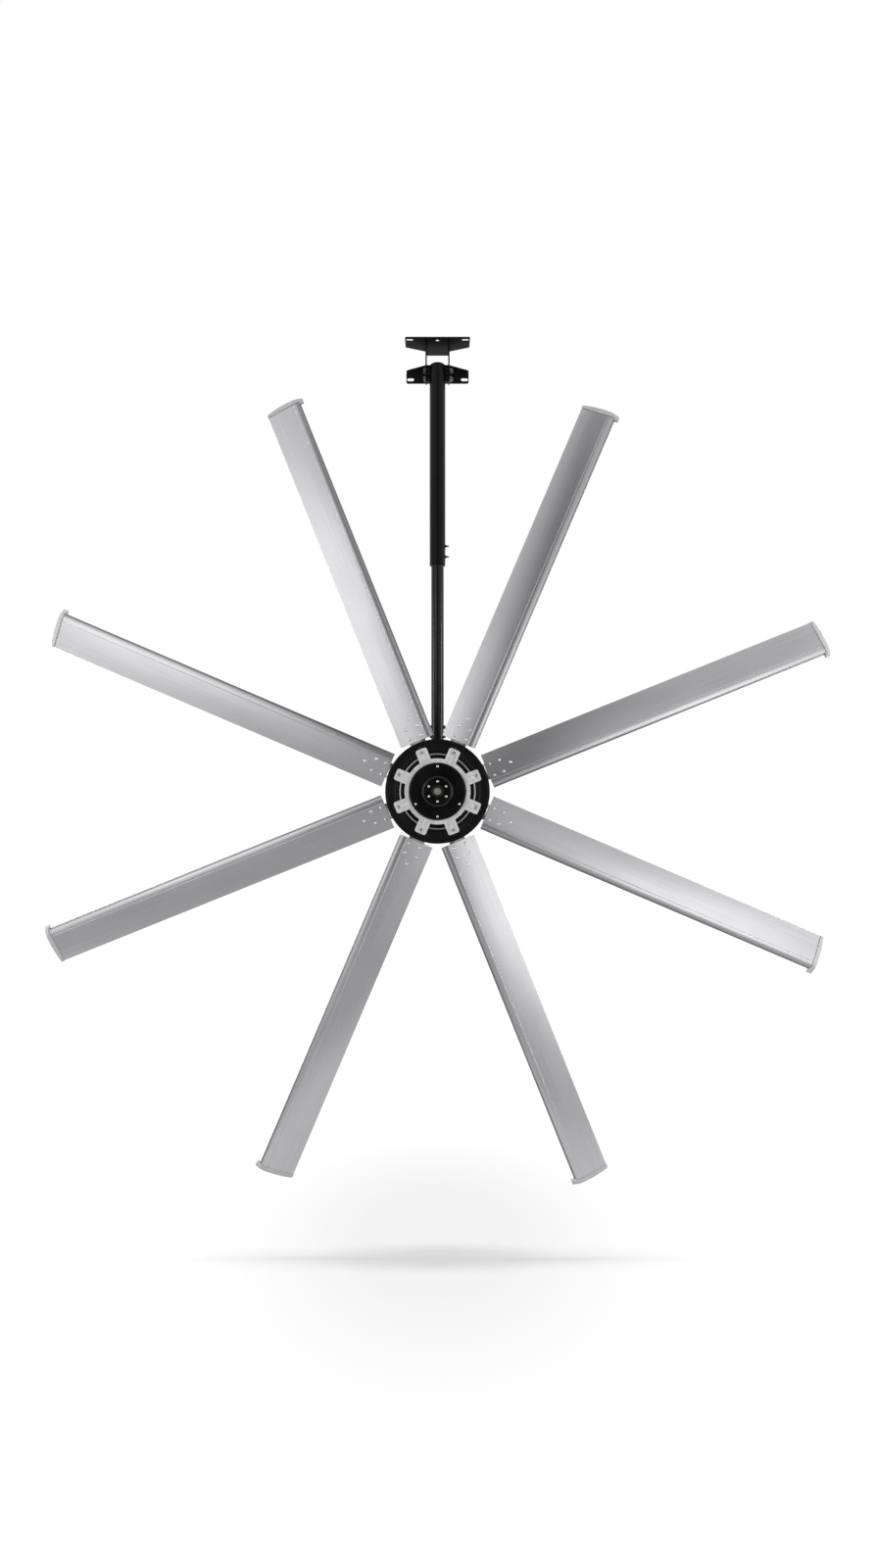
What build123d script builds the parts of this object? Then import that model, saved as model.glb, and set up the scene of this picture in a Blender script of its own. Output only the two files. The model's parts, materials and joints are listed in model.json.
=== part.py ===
from build123d import *
import math
import os

# Industrial ceiling fan: eight extruded blades on a gearless motor, hung from a telescoping rod.
# Millimetres, +Z up. Origin: on the ceiling face, on the axis of the drop rod.
# The rotor faces -Y, and +X is on the right of someone who looks at the rotor's front.

# Main places
FAN_DIAMETER = 3048.0
HUB_DROP = 1713.0  # ceiling face down to the tilt axis, which the rotor's axis crosses
BLADE_PLANE_FORWARD = 115.0  # tilt axis to the plane of the blades
BLADE_COUNT = 8
FIRST_BLADE_DEG = 21.9
BLADE_PITCH_DEG = 11.0

# Clearances and cutting
CUT = 1.0  # how far a cutter runs past the faces that it cuts
PIVOT_FIT = 0.05  # radial, a pin that turns in its bore
BOLT_HOLE_GAP = 0.4  # radial, a bolt in a plain hole
SIDE_PLAY = 0.5  # between flat faces that slide past each other
AIR_GAP = 1.0  # stator to magnets
BALL_GAP = 0.08  # ball to the groove of a race

# Hanger plates
PLATE_THICKNESS = 5.0
CEILING_WIDTH = 246.0
CEILING_FRONT = 51.0  # rod axis to the front edge
CEILING_WEB_REAR = 55.0
CEILING_WING_REAR = 30.0  # wing's rear edge beside the cheek
CEILING_END_REAR = 5.0  # wing's rear edge at its end
CEILING_EDGE_RADIUS = 6.0
WALL_WIDTH = 244.0
WALL_TOP_DROP = 44.0  # ceiling face to the plate's top, beside the cheek
WALL_END_DROP = 65.0  # ceiling face to the plate's top, at its end
WALL_BOTTOM_DROP = 115.0
SLOT_SPACING = 211.0
SLOT_LENGTH = 28.0
SLOT_WIDTH = 13.0
SLOT_EDGE = 14.5  # free edge to the slots' centre line
CENTRE_HOLE_RADIUS = 7.0
CENTRE_HOLE_EDGE = 18.0
CHEEK_FRONT = 38.0
CHEEK_FOOT_HALF = 16.0
CHEEK_FOOT_BELOW = 13.0  # lower cross bolt to the cheek's foot
CHEEK_CORNER_RADIUS = 9.0

# Cross bolts of the hanger
HANGER_BOLT_RADIUS = 6.0
HANGER_BOLT_DROPS = (98.0, 130.0)
HANGER_HEAD_FLATS = 19.0
HANGER_HEAD_HEIGHT = 7.5
HANGER_NUT_HEIGHT = 10.0
HANGER_SPACER_LENGTH = 10.85
HANGER_SPACER_RADIUS = 10.0
BOLT_END = 4.0  # thread that stands out of a nut

# Drop rod
INNER_TUBE_DIAMETER = 48.3
INNER_TUBE_WALL = 3.6
TUBE_GAP = 1.0
OUTER_TUBE_WALL = 5.0
ROD_TOP_RISE = 16.0  # upper cross bolt to the rod's top
OUTER_TUBE_LENGTH = 763.0
TUBE_OVERLAP = 515.0  # inner tube inside the outer one
CLAMP_SCREW_RISES = (33.0, 74.0)  # above the outer tube's lower end
CLAMP_SCREW_RADIUS = 3.0
CLAMP_SCREW_STANDOUT = 13.0
CLAMP_SCREW_TIP_GAP = 0.3
CLAMP_NUT_FLATS = 10.0
CLAMP_NUT_HEIGHT = 4.0

# Rod foot
FLANGE_RADIUS = 60.0
FLANGE_THICKNESS = 8.0
FOOT_STUB_LENGTH = 70.0
FOOT_STUB_BORE = 14.0
FOOT_BOLT_RADIUS = 4.0
FOOT_BOLT_RISES = (24.0, 59.0)  # above the flange
FOOT_BOLT_FLATS = 13.0
FOOT_BOLT_HEAD = 5.3
FOOT_NUT_HEIGHT = 6.5
FLANGE_BOLT_RADIUS = 5.0
FLANGE_BOLT_FLATS = 16.0
FLANGE_BOLT_HEAD = 6.4
FLANGE_BOLT_CIRCLE = 92.0

# Yoke and tilt bracket
YOKE_RISE = 180.0  # tilt axis to the yoke's top
YOKE_PLATE = 8.0
YOKE_INNER_HALF = 113.0
YOKE_DEPTH = 90.0
YOKE_ARM_DEPTH = 60.0
YOKE_BEND_RADIUS = 52.0  # outside of the bend
BRACKET_PLATE = 8.0
BRACKET_HALF_HEIGHT = 58.0
BRACKET_FORWARD = 58.0  # tilt axis to the bracket's front face
PIVOT_RADIUS = 8.0
PIVOT_HEAD_FLATS = 24.0
PIVOT_HEAD_HEIGHT = 9.0
PIVOT_NUT_HEIGHT = 8.0
LOCK_ARC_RADIUS = 42.0
LOCK_BOLT_RADIUS = 4.0
LOCK_HEAD_FLATS = 13.0
LOCK_HEAD_HEIGHT = 5.3
LOCK_NUT_RADIUS = 9.0
LOCK_NUT_HEIGHT = 7.0
TILT_TRAVEL_DEG = 90.0

# Bearings, one pair alike
BEARING_BORE_RADIUS = 25.0
BEARING_OUTER_RADIUS = 45.0
BEARING_WIDTH = 20.0
RACE_THICKNESS = 6.0
BALL_RADIUS = 6.35
BALL_COUNT = 10

# Rotor stations along its axis, from the blade plane, positive towards the front
REAR_BEARING_STATION = -50.0
FRONT_BEARING_STATION = 4.0
CAN_REAR_STATION = -46.0
CAN_WALL = 8.0
STRUT_ROOT_THICKNESS = 12.0
DISH_FLOOR = 6.0
RETAINER_LIP = 4.0
RETAINER_LIP_RADIUS = 36.0
BEARING_HOUSING_WALL = 13.0

# Motor
CAN_FLANGE_WIDTH = 39.0  # dish's edge to the can's wall
MAGNET_THICKNESS = 7.0
MAGNET_COUNT = 24
MAGNET_SPACE = 3.0
CORE_REAR_STATION = -28.0
CORE_STACK = 24.0
CORE_BORE_RADIUS = 30.0
TOOTH_COUNT = 24
TOOTH_WIDTH = 12.0
TOOTH_OPENING = 6.6  # between neighbouring shoes
TOOTH_SHOE_THICKNESS = 4.0
TOOTH_DEPTH = 31.0
CORE_BACK_THICKNESS = 25.0
CORE_HUB_THICKNESS = 14.0
CORE_ARM_COUNT = 6
CORE_ARM_WIDTH = 20.0
COIL_SPACE = 3.8  # between neighbouring coils at their inner ends
COIL_OVERHANG = 7.5
COIL_GAP = 0.4
SHAFT_NECK_RADIUS = 20.0
SHAFT_SHOULDER_RADIUS = 32.0
SHAFT_BORE_RADIUS = 9.0
SHAFT_TAIL = 19.0  # shaft behind the tilt bracket
SHAFT_NOSE = 4.0  # shaft in front of the front bearing
SHAFT_NUT_FLATS = 58.0
SHAFT_NUT_HEIGHT = 12.0
GLAND_RADIUS = 14.0
GLAND_LENGTH = 22.0
GLAND_COLLAR = 11.0  # length of its hexagon
GLAND_BORE_RADIUS = 4.5
GLAND_NOSE_RADIUS = 11.0

# Hub front; insets are measured inwards from the dish's edge
DISH_RADIUS = 191.0
SKIRT_THICKNESS = 6.0
LIP_RISE = 6.5  # dish floor to the outer lip
RIM_WIDTH = 13.0
LIP_WIDTH = 3.0
RIM_GROOVE_WIDTH = 2.0
RIM_GROOVE_DEPTH = 3.0
RIDGE_INSET = 39.5
RIDGE_WIDTH = 11.0
RIDGE_RISE = 3.0
DISH_RING_INSET = 52.0
DISH_RING_WIDTH = 5.5
DISH_RING_HEIGHT = 9.0
DISH_RING_EDGE = 1.8
FIN_INSET = 60.0
FIN_LENGTH = 9.0
FIN_RISE = 7.0
FIN_COUNT = 48
FIN_SLOT_WIDTH = 5.0
FIN_SLOT_DEPTH = 4.7
COLLAR_WIDTH = 16.0
COLLAR_RISE = 14.0
DISH_SCREW_INSET = 19.0
DISH_SCREW_RADIUS = 3.0
DISH_SCREW_HEAD_RADIUS = 5.5
DISH_SCREW_HEAD_HEIGHT = 3.5

# Spider that covers the hub's middle
SPIDER_INSET = 71.0
SPIDER_RING_WIDTH = 15.0
SPIDER_RING_HEIGHT = 18.0
FINGER_END_INSET = 26.0
FINGER_WIDTH = 43.0
FINGER_TOP = 20.0  # dish floor to the finger's front
FINGER_THICKNESS = 10.0
FINGER_FOOT_LENGTH = 23.0
FINGER_CORNER_RADIUS = 8.0
FINGER_GROOVE_WIDTH = 4.0
FINGER_GROOVE_DEPTH = 2.5
FINGER_GROOVE_OFFSET = 9.0
FINGER_GROOVE_INNER_GAP = 8.0  # spider's inner edge to the groove
FINGER_GROOVE_OUTER_GAP = 5.0  # groove to the finger's end
RIDGE_CLEARANCE = 1.0
FINGER_SCREW_RADIUS = 4.0
FINGER_SCREW_HEAD_RADIUS = 5.6
FINGER_SCREW_HEAD_HEIGHT = 4.0
COUNTERBORE_DEPTH = 5.0

# Front cap, its raised cover and its centre
SPIDER_CAP_GAP = 1.0
CAP_HEIGHT = 24.0
CAP_SHELL = 4.0
CAP_EDGE = 3.0
CAP_SKIRT_GAP = 0.3
COVER_RADIUS = 56.0
COVER_HEIGHT = 10.0
COVER_EDGE = 3.0
CAP_SCREW_RADIUS = 2.5
CAP_SCREW_LENGTH = 14.0
CAP_SCREW_HEAD_RADIUS = 4.4
CAP_SCREW_HEAD_HEIGHT = 2.6
CAP_SCREW_INSET = 13.0  # from the cap's edge
CAP_SCREW_ANGLES = (90.0, 210.0, 270.0, 330.0)
COVER_SCREW_CIRCLE_RADIUS = 36.0
COVER_SCREW_COUNT = 6
COVER_SCREW_FIRST_DEG = 30.0
PLUG_RADIUS = 12.5
PLUG_HEIGHT = 4.0
PLUG_STEM_RADIUS = 8.0
WASHER_RADIUS = 21.5
WASHER_HEIGHT = 2.5
WASHER_GAP = 0.1

# Struts from hub to blade
STRUT_WIDTH = 60.0
STRUT_THICKNESS = 8.0
STRUT_ROOT_INSET = 34.0
STRUT_REACH = 114.0  # inside the blade
STRUT_WINDOW_GAP = 0.4
STRUT_TWIST_START_GAP = 1.0

# Blades
BLADE_ROOT_GAP = 7.0  # dish to the blade's end
BLADE_CHORD = 130.0
BLADE_WALL = 2.0
BLADE_CROWN = 5.0
CROWN_OFFSET = 10.4  # blade's middle to the crown's lowest point, towards the nose
NOSE_BAND = 27.0  # nose tip to the start of its curved band
NOSE_SLOPE_DEG = 32.0  # slope of the band where it meets the tip
NOSE_TIP_RADIUS = 3.6
NOSE_GROOVE_WIDTH = 2.5  # where the band meets the flat face
NOSE_GROOVE_DEPTH = 0.9
TRAILING_THICKNESS = 2.4
TRAILING_DROP = 0.6
REAR_CAVITY_MARGIN = 13.0
STRUT_SIDE_GAP = 1.0
BLADE_BOLT_RUNS = (17.0, 55.0, 91.0)  # from the root
BLADE_BOLT_ACROSS = 23.0  # pairs at the first two runs, one bolt at the last
BLADE_BOLT_RADIUS = 3.0
BLADE_BOLT_HEAD_RADIUS = 5.6
BLADE_BOLT_HEAD_HEIGHT = 3.4
BLADE_NUT_FLATS = 10.0
BLADE_NUT_HEIGHT = 5.0

# End caps
CAP_END_THICKNESS = 15.5
CAP_END_BULGE = 6.0
CAP_END_MARGIN = 2.5
CAP_END_OVERHANG = 13.0
CAP_END_TIP_RADIUS = 4.0
CAP_HOOK_LENGTH = 7.0
CAP_PLUG_DEPTH = 12.0
CAP_PLUG_GAP = 0.5

# Values that follow from the driving ones
outer_tube_radius = INNER_TUBE_DIAMETER / 2 + TUBE_GAP + OUTER_TUBE_WALL
inner_tube_radius = INNER_TUBE_DIAMETER / 2
cheek_inner = outer_tube_radius + HANGER_SPACER_LENGTH
cheek_outer = cheek_inner + PLATE_THICKNESS
cheek_bottom = -HANGER_BOLT_DROPS[-1] - CHEEK_FOOT_BELOW
rod_top = ROD_TOP_RISE - HANGER_BOLT_DROPS[0]
rod_bottom = rod_top - OUTER_TUBE_LENGTH
inner_tube_top = rod_bottom + TUBE_OVERLAP
flange_bottom = -HUB_DROP + YOKE_RISE
flange_top = flange_bottom + FLANGE_THICKNESS
ear_outer = YOKE_INNER_HALF - SIDE_PLAY
ear_inner = ear_outer - BRACKET_PLATE
arm_outer = YOKE_INNER_HALF + YOKE_PLATE
bracket_front_station = BRACKET_FORWARD - BLADE_PLANE_FORWARD
bracket_rear_station = bracket_front_station - BRACKET_PLATE
strut_half = STRUT_ROOT_THICKNESS / 2
can_flange_rear = -strut_half - CAN_WALL
can_radius = DISH_RADIUS - CAN_FLANGE_WIDTH
can_inner_radius = can_radius - CAN_WALL
core_radius = can_inner_radius - MAGNET_THICKNESS - AIR_GAP
core_front_station = CORE_REAR_STATION + CORE_STACK
coil_inner = core_radius - TOOTH_DEPTH + COIL_GAP
housing_radius = BEARING_OUTER_RADIUS + BEARING_HOUSING_WALL
rear_bearing_end = REAR_BEARING_STATION + BEARING_WIDTH
front_bearing_end = FRONT_BEARING_STATION + BEARING_WIDTH
floor = strut_half + DISH_FLOOR  # front of the dish's floor
cap_front = floor + CAP_HEIGHT
cover_front = cap_front + COVER_HEIGHT
ridge_radius = DISH_RADIUS - RIDGE_INSET
dish_screw_circle = DISH_RADIUS - DISH_SCREW_INSET
finger_end = DISH_RADIUS - FINGER_END_INSET
spider_radius = DISH_RADIUS - SPIDER_INSET
spider_inner = spider_radius - SPIDER_RING_WIDTH
cap_radius = spider_inner - SPIDER_CAP_GAP
cap_inner = cap_radius - CAP_SHELL + CAP_SKIRT_GAP
cap_screw_circle = cap_radius - CAP_SCREW_INSET
strut_root = DISH_RADIUS - STRUT_ROOT_INSET
blade_root = DISH_RADIUS + BLADE_ROOT_GAP
blade_tip = FAN_DIAMETER / 2 - CAP_END_THICKNESS
near_face = STRUT_THICKNESS / 2 + BLADE_WALL
strut_tip = blade_root + STRUT_REACH
chord_half = BLADE_CHORD / 2
nose_slope = math.radians(NOSE_SLOPE_DEG)
band_start = NOSE_BAND - chord_half
tip_centre = NOSE_TIP_RADIUS - chord_half
band_radius = (band_start - tip_centre) / math.sin(nose_slope) + NOSE_TIP_RADIUS
band_centre = near_face - band_radius
tip_height = band_centre + (band_radius - NOSE_TIP_RADIUS) * math.cos(nose_slope)
blade_bolt_places = [(run, side * BLADE_BOLT_ACROSS) for run in BLADE_BOLT_RUNS[:-1] for side in (-1, 1)]
blade_bolt_places.append((BLADE_BOLT_RUNS[-1], 0.0))

# Frame of the rotor: local Z runs out of its front, local X to the right, local Y up
ROTOR = Location((0, -BLADE_PLANE_FORWARD, -HUB_DROP), (90, 0, 0))


def block(low, high):
    """Box between two corners."""
    size = [high[i] - low[i] for i in range(3)]
    middle = [(high[i] + low[i]) / 2 for i in range(3)]
    return Pos(*middle) * Box(*size)


def disc(radius, start, end):
    """Cylinder about local Z."""
    return Pos(0, 0, (start + end) / 2) * Cylinder(radius, end - start)


def ring(inner, outer, start, end):
    """Plain ring about local Z."""
    return disc(outer, start, end) - disc(inner, start - CUT, end + CUT)


def lathe(points):
    """Solid turned about local Z from (radius, height) points."""
    return revolve(Plane.XZ * make_face(Polyline(*points, close=True)), Axis.Z)


def cross_pin(radius, start, end, y, z):
    """Cylinder along X."""
    return Pos((start + end) / 2, y, z) * (Rot(0, 90, 0) * Cylinder(radius, end - start))


def hexagon(flats, height):
    """Hexagonal prism that stands on the local XY plane."""
    return extrude(RegularPolygon(flats / 2, 6, major_radius=False), height)


def hex_bolt(flats, head, radius, length):
    """Bolt with its head above the local XY plane and its shank below."""
    return hexagon(flats, head) + disc(radius, -length, 0)


def nut(flats, height, radius):
    """Nut that stands on the local XY plane."""
    return hexagon(flats, height) - disc(radius, -CUT, height + CUT)


def dome_screw(head_radius, head, radius, length):
    """Screw with a low domed head above the local XY plane."""
    sphere = (head_radius**2 + head**2) / (2 * head)
    dome = Pos(0, 0, head - sphere) * Sphere(sphere)
    cap = dome & disc(head_radius + CUT, 0, head + CUT)
    return cap + disc(radius, -length, 0)


def around(shape, angles):
    """Copies of a shape turned about local Z."""
    return [Rot(0, 0, angle) * shape for angle in angles]


def even(count, first=0.0):
    """Evenly spaced angles."""
    return [first + 360.0 * i / count for i in range(count)]


def facing_right(shape):
    """Turns local Z to +X."""
    return Rot(0, 90, 0) * shape


def facing_left(shape):
    """Turns local Z to -X."""
    return Rot(0, -90, 0) * shape


def both_sides(shape, reach, height):
    """Two copies that face outwards, right and left of the tilt axis' middle."""
    return [Pos(reach, 0, height) * facing_right(shape), Pos(-reach, 0, height) * facing_left(shape)]


def both_sides_inwards(shape, reach, height):
    """Two copies that face inwards, right and left of the tilt axis' middle."""
    return [Pos(reach, 0, height) * facing_left(shape), Pos(-reach, 0, height) * facing_right(shape)]


def save(name, shapes):
    """Writes one node; a list becomes a group of separate solids."""
    group = shapes if isinstance(shapes, list) else [shapes]
    solids = [solid for shape in group for solid in shape.solids()]
    whole = Compound(children=solids) if len(solids) > 1 else solids[0]
    export_step(whole, f"parts/{name}.step")


def save_rotor(name, shapes):
    """Writes a node that is modelled in the rotor's frame."""
    group = shapes if isinstance(shapes, list) else [shapes]
    save(name, [shape.moved(ROTOR) for shape in group])


BLADE_ANGLES = even(BLADE_COUNT, FIRST_BLADE_DEG)


# Hanger


def slot_cutter():
    """Slot along X through the local XY plane."""
    return extrude(SlotOverall(SLOT_LENGTH, SLOT_WIDTH), PLATE_THICKNESS + CUT, both=True)


def ceiling_plate():
    """Top plate: two tapered wings and a deeper middle web."""
    half = CEILING_WIDTH / 2
    outline = [
        (-half, -CEILING_FRONT),
        (half, -CEILING_FRONT),
        (half, CEILING_END_REAR),
        (cheek_outer, CEILING_WING_REAR),
        (cheek_outer, CEILING_WEB_REAR),
        (-cheek_outer, CEILING_WEB_REAR),
        (-cheek_outer, CEILING_WING_REAR),
        (-half, CEILING_END_REAR),
    ]
    plate = extrude(make_face(Polyline(*outline, close=True)), -PLATE_THICKNESS)
    corners = plate.edges().filter_by(Axis.Z).group_by(Axis.X)
    plate = fillet(corners[0] + corners[-1], CEILING_EDGE_RADIUS)
    for side in (-1, 1):
        plate -= Pos(side * SLOT_SPACING / 2, SLOT_EDGE - CEILING_FRONT, 0) * slot_cutter()
    hole = disc(CENTRE_HOLE_RADIUS, -PLATE_THICKNESS - CUT, CUT)
    return plate - Pos(0, CENTRE_HOLE_EDGE - CEILING_FRONT, 0) * hole


def wall_plate():
    """Rear plate, upright, with two tapered wings."""
    half = WALL_WIDTH / 2
    outline = [
        (-half, -WALL_BOTTOM_DROP),
        (half, -WALL_BOTTOM_DROP),
        (half, -WALL_END_DROP),
        (cheek_outer, -WALL_TOP_DROP),
        (-cheek_outer, -WALL_TOP_DROP),
        (-half, -WALL_END_DROP),
    ]
    face = Plane.XZ * make_face(Polyline(*outline, close=True))
    plate = Pos(0, CEILING_WEB_REAR, 0) * extrude(face, PLATE_THICKNESS)
    corners = plate.edges().filter_by(Axis.Y).group_by(Axis.X)
    plate = fillet(corners[0] + corners[-1], CEILING_EDGE_RADIUS)
    height = SLOT_EDGE - WALL_BOTTOM_DROP
    for side in (-1, 1):
        place = Location((side * SLOT_SPACING / 2, CEILING_WEB_REAR, height), (90, 0, 0))
        plate -= place * slot_cutter()
    return plate


def cheek(side):
    """Upright side plate between the ceiling plate and the wall plate."""
    back = CEILING_WEB_REAR - PLATE_THICKNESS
    outline = [
        (-CHEEK_FRONT, -PLATE_THICKNESS),
        (back, -PLATE_THICKNESS),
        (back, -WALL_BOTTOM_DROP),
        (CHEEK_FOOT_HALF, cheek_bottom),
        (-CHEEK_FOOT_HALF, cheek_bottom),
    ]
    face = Plane.YZ * make_face(Polyline(*outline, close=True))
    plate = extrude(face, PLATE_THICKNESS)
    foot = plate.edges().filter_by(Axis.X).group_by(Axis.Z)[0]
    plate = fillet(foot, CHEEK_CORNER_RADIUS)
    for drop in HANGER_BOLT_DROPS:
        plate -= cross_pin(HANGER_BOLT_RADIUS + BOLT_HOLE_GAP, -CUT, PLATE_THICKNESS + CUT, 0, -drop)
    return Pos(cheek_inner if side > 0 else -cheek_outer, 0, 0) * plate


def hanger_bolts():
    """Cross bolts with their heads on the left cheek."""
    length = 2 * cheek_outer + HANGER_NUT_HEIGHT + BOLT_END
    bolt = facing_left(hex_bolt(HANGER_HEAD_FLATS, HANGER_HEAD_HEIGHT, HANGER_BOLT_RADIUS, length))
    return [Pos(-cheek_outer, 0, -drop) * bolt for drop in HANGER_BOLT_DROPS]


def hanger_nuts():
    """Nuts on the right cheek."""
    piece = facing_right(nut(HANGER_HEAD_FLATS, HANGER_NUT_HEIGHT, HANGER_BOLT_RADIUS))
    return [Pos(cheek_outer, 0, -drop) * piece for drop in HANGER_BOLT_DROPS]


def hanger_spacers():
    """Bushes that centre the rod between the cheeks."""
    bush = facing_right(ring(HANGER_BOLT_RADIUS, HANGER_SPACER_RADIUS, 0, HANGER_SPACER_LENGTH))
    starts = (outer_tube_radius, -cheek_inner)
    return [Pos(start, 0, -drop) * bush for drop in HANGER_BOLT_DROPS for start in starts]


# Drop rod


def outer_tube():
    """Upper tube, cross-drilled at its top and tapped for the clamp screws."""
    tube = ring(inner_tube_radius + TUBE_GAP, outer_tube_radius, rod_bottom, rod_top)
    reach = outer_tube_radius + CUT
    for drop in HANGER_BOLT_DROPS:
        tube -= cross_pin(HANGER_BOLT_RADIUS, -reach, reach, 0, -drop)
    for rise in CLAMP_SCREW_RISES:
        tube -= cross_pin(CLAMP_SCREW_RADIUS, 0, reach, 0, rod_bottom + rise)
    return tube


def clamp_screws():
    """Screws that press on the inner tube from the right."""
    start = inner_tube_radius + CLAMP_SCREW_TIP_GAP
    end = outer_tube_radius + CLAMP_SCREW_STANDOUT
    return [cross_pin(CLAMP_SCREW_RADIUS, start, end, 0, rod_bottom + rise) for rise in CLAMP_SCREW_RISES]


def clamp_lock_nuts():
    """Lock nuts against the outer tube."""
    piece = facing_right(nut(CLAMP_NUT_FLATS, CLAMP_NUT_HEIGHT, CLAMP_SCREW_RADIUS))
    return [Pos(outer_tube_radius, 0, rod_bottom + rise) * piece for rise in CLAMP_SCREW_RISES]


def inner_tube():
    """Lower tube, cross-drilled at its foot."""
    tube = ring(inner_tube_radius - INNER_TUBE_WALL, inner_tube_radius, flange_top, inner_tube_top)
    reach = inner_tube_radius + CUT
    for rise in FOOT_BOLT_RISES:
        tube -= cross_pin(FOOT_BOLT_RADIUS, -reach, reach, 0, flange_top + rise)
    return tube


# Rod foot and yoke


def flange_bolt_places():
    """Four places on the flange's bolt circle, between the axes."""
    reach = FLANGE_BOLT_CIRCLE / 2 / math.sqrt(2)
    return [(x * reach, y * reach) for x in (-1, 1) for y in (-1, 1)]


def foot_coupling():
    """Flange with a hollow stub that fills the lower tube."""
    stub_radius = inner_tube_radius - INNER_TUBE_WALL
    piece = disc(FLANGE_RADIUS, flange_bottom, flange_top)
    piece += disc(stub_radius, flange_top, flange_top + FOOT_STUB_LENGTH)
    piece -= disc(FOOT_STUB_BORE, flange_bottom - CUT, flange_top + FOOT_STUB_LENGTH + CUT)
    for rise in FOOT_BOLT_RISES:
        piece -= cross_pin(FOOT_BOLT_RADIUS, -inner_tube_radius, inner_tube_radius, 0, flange_top + rise)
    for x, y in flange_bolt_places():
        piece -= Pos(x, y, 0) * disc(FLANGE_BOLT_RADIUS, flange_bottom - CUT, flange_top + CUT)
    return piece


def coupling_bolts():
    """Two bolts through the lower tube and the stub, heads on the left."""
    length = 2 * inner_tube_radius + FOOT_NUT_HEIGHT
    bolt = facing_left(hex_bolt(FOOT_BOLT_FLATS, FOOT_BOLT_HEAD, FOOT_BOLT_RADIUS, length))
    return [Pos(-inner_tube_radius, 0, flange_top + rise) * bolt for rise in FOOT_BOLT_RISES]


def coupling_nuts():
    """Nuts on the right of the lower tube."""
    piece = facing_right(nut(FOOT_BOLT_FLATS, FOOT_NUT_HEIGHT, FOOT_BOLT_RADIUS))
    return [Pos(inner_tube_radius, 0, flange_top + rise) * piece for rise in FOOT_BOLT_RISES]


def flange_bolts():
    """Bolts that hold the flange on the yoke's tapped crossbar."""
    bolt = hex_bolt(FLANGE_BOLT_FLATS, FLANGE_BOLT_HEAD, FLANGE_BOLT_RADIUS, FLANGE_THICKNESS + YOKE_PLATE)
    return [Pos(x, y, flange_top) * bolt for x, y in flange_bolt_places()]


def yoke():
    """Bent fork: a crossbar and two arms that end in round pivot eyes."""
    arm_half = YOKE_ARM_DEPTH / 2
    under = flange_bottom - YOKE_PLATE
    fork = block((-arm_outer, -arm_half, -HUB_DROP), (arm_outer, arm_half, flange_bottom))
    fork = fillet(fork.edges().filter_by(Axis.Y).group_by(Axis.Z)[-1], YOKE_BEND_RADIUS)
    low = (-YOKE_INNER_HALF, -arm_half - CUT, -HUB_DROP - CUT)
    space = block(low, (YOKE_INNER_HALF, arm_half + CUT, under))
    fork -= fillet(space.edges().filter_by(Axis.Y).group_by(Axis.Z)[-1], YOKE_BEND_RADIUS - YOKE_PLATE)
    flat = arm_outer - YOKE_BEND_RADIUS
    fork += block((-flat, -YOKE_DEPTH / 2, under), (flat, YOKE_DEPTH / 2, flange_bottom))
    for start in (-arm_outer, YOKE_INNER_HALF):
        end = start + YOKE_PLATE
        fork += cross_pin(arm_half, start, end, 0, -HUB_DROP)
        fork -= cross_pin(PIVOT_RADIUS + PIVOT_FIT, start - CUT, end + CUT, 0, -HUB_DROP)
        fork -= cross_pin(LOCK_BOLT_RADIUS, start - CUT, end + CUT, 0, -HUB_DROP + LOCK_ARC_RADIUS)
    fork -= disc(FOOT_STUB_BORE, under - CUT, flange_bottom + CUT)
    for x, y in flange_bolt_places():
        fork -= Pos(x, y, 0) * disc(FLANGE_BOLT_RADIUS, under - CUT, flange_bottom + CUT)
    return fork


# Tilt bracket, modelled about the tilt axis


def arc_slot_cutter(start, end):
    """Quarter-turn slot about the tilt axis, from straight up towards the rear."""
    half = LOCK_BOLT_RADIUS + BOLT_HOLE_GAP
    band = ring(LOCK_ARC_RADIUS - half, LOCK_ARC_RADIUS + half, 0, end - start)
    reach = 2 * LOCK_ARC_RADIUS
    quarter = band & block((0, 0, -CUT), (reach, reach, end - start + CUT))
    round_end = Pos(LOCK_ARC_RADIUS, 0, 0) * disc(half, 0, end - start)
    cutter = quarter + round_end + Rot(0, 0, TILT_TRAVEL_DEG) * round_end
    return Location(Plane(origin=(start, 0, 0), x_dir=(0, 1, 0), z_dir=(1, 0, 0))) * cutter


def tilt_bracket():
    """Back plate with two ears that hang on the pivots."""
    high = BRACKET_HALF_HEIGHT
    front = -BRACKET_FORWARD
    piece = block((-ear_outer, front, -high), (ear_outer, front + BRACKET_PLATE, high))
    for start in (-ear_outer, ear_inner):
        end = start + BRACKET_PLATE
        piece += block((start, front + BRACKET_PLATE, -high), (end, 0, high))
        piece += cross_pin(high, start, end, 0, 0)
        piece -= cross_pin(PIVOT_RADIUS, start - CUT, end + CUT, 0, 0)
        piece -= arc_slot_cutter(start - CUT, end + CUT)
    bore = disc(SHAFT_NECK_RADIUS, -BRACKET_PLATE - CUT, CUT)
    piece -= Location((0, front, 0), (90, 0, 0)) * bore
    return Pos(0, 0, -HUB_DROP) * piece


def pivot_bolts():
    """Pivots with their heads outside the yoke's arms."""
    length = arm_outer + SIDE_PLAY - ear_inner + PIVOT_NUT_HEIGHT
    bolt = hex_bolt(PIVOT_HEAD_FLATS, PIVOT_HEAD_HEIGHT, PIVOT_RADIUS, length)
    reach = arm_outer + SIDE_PLAY
    return both_sides(bolt, reach, -HUB_DROP)


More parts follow.
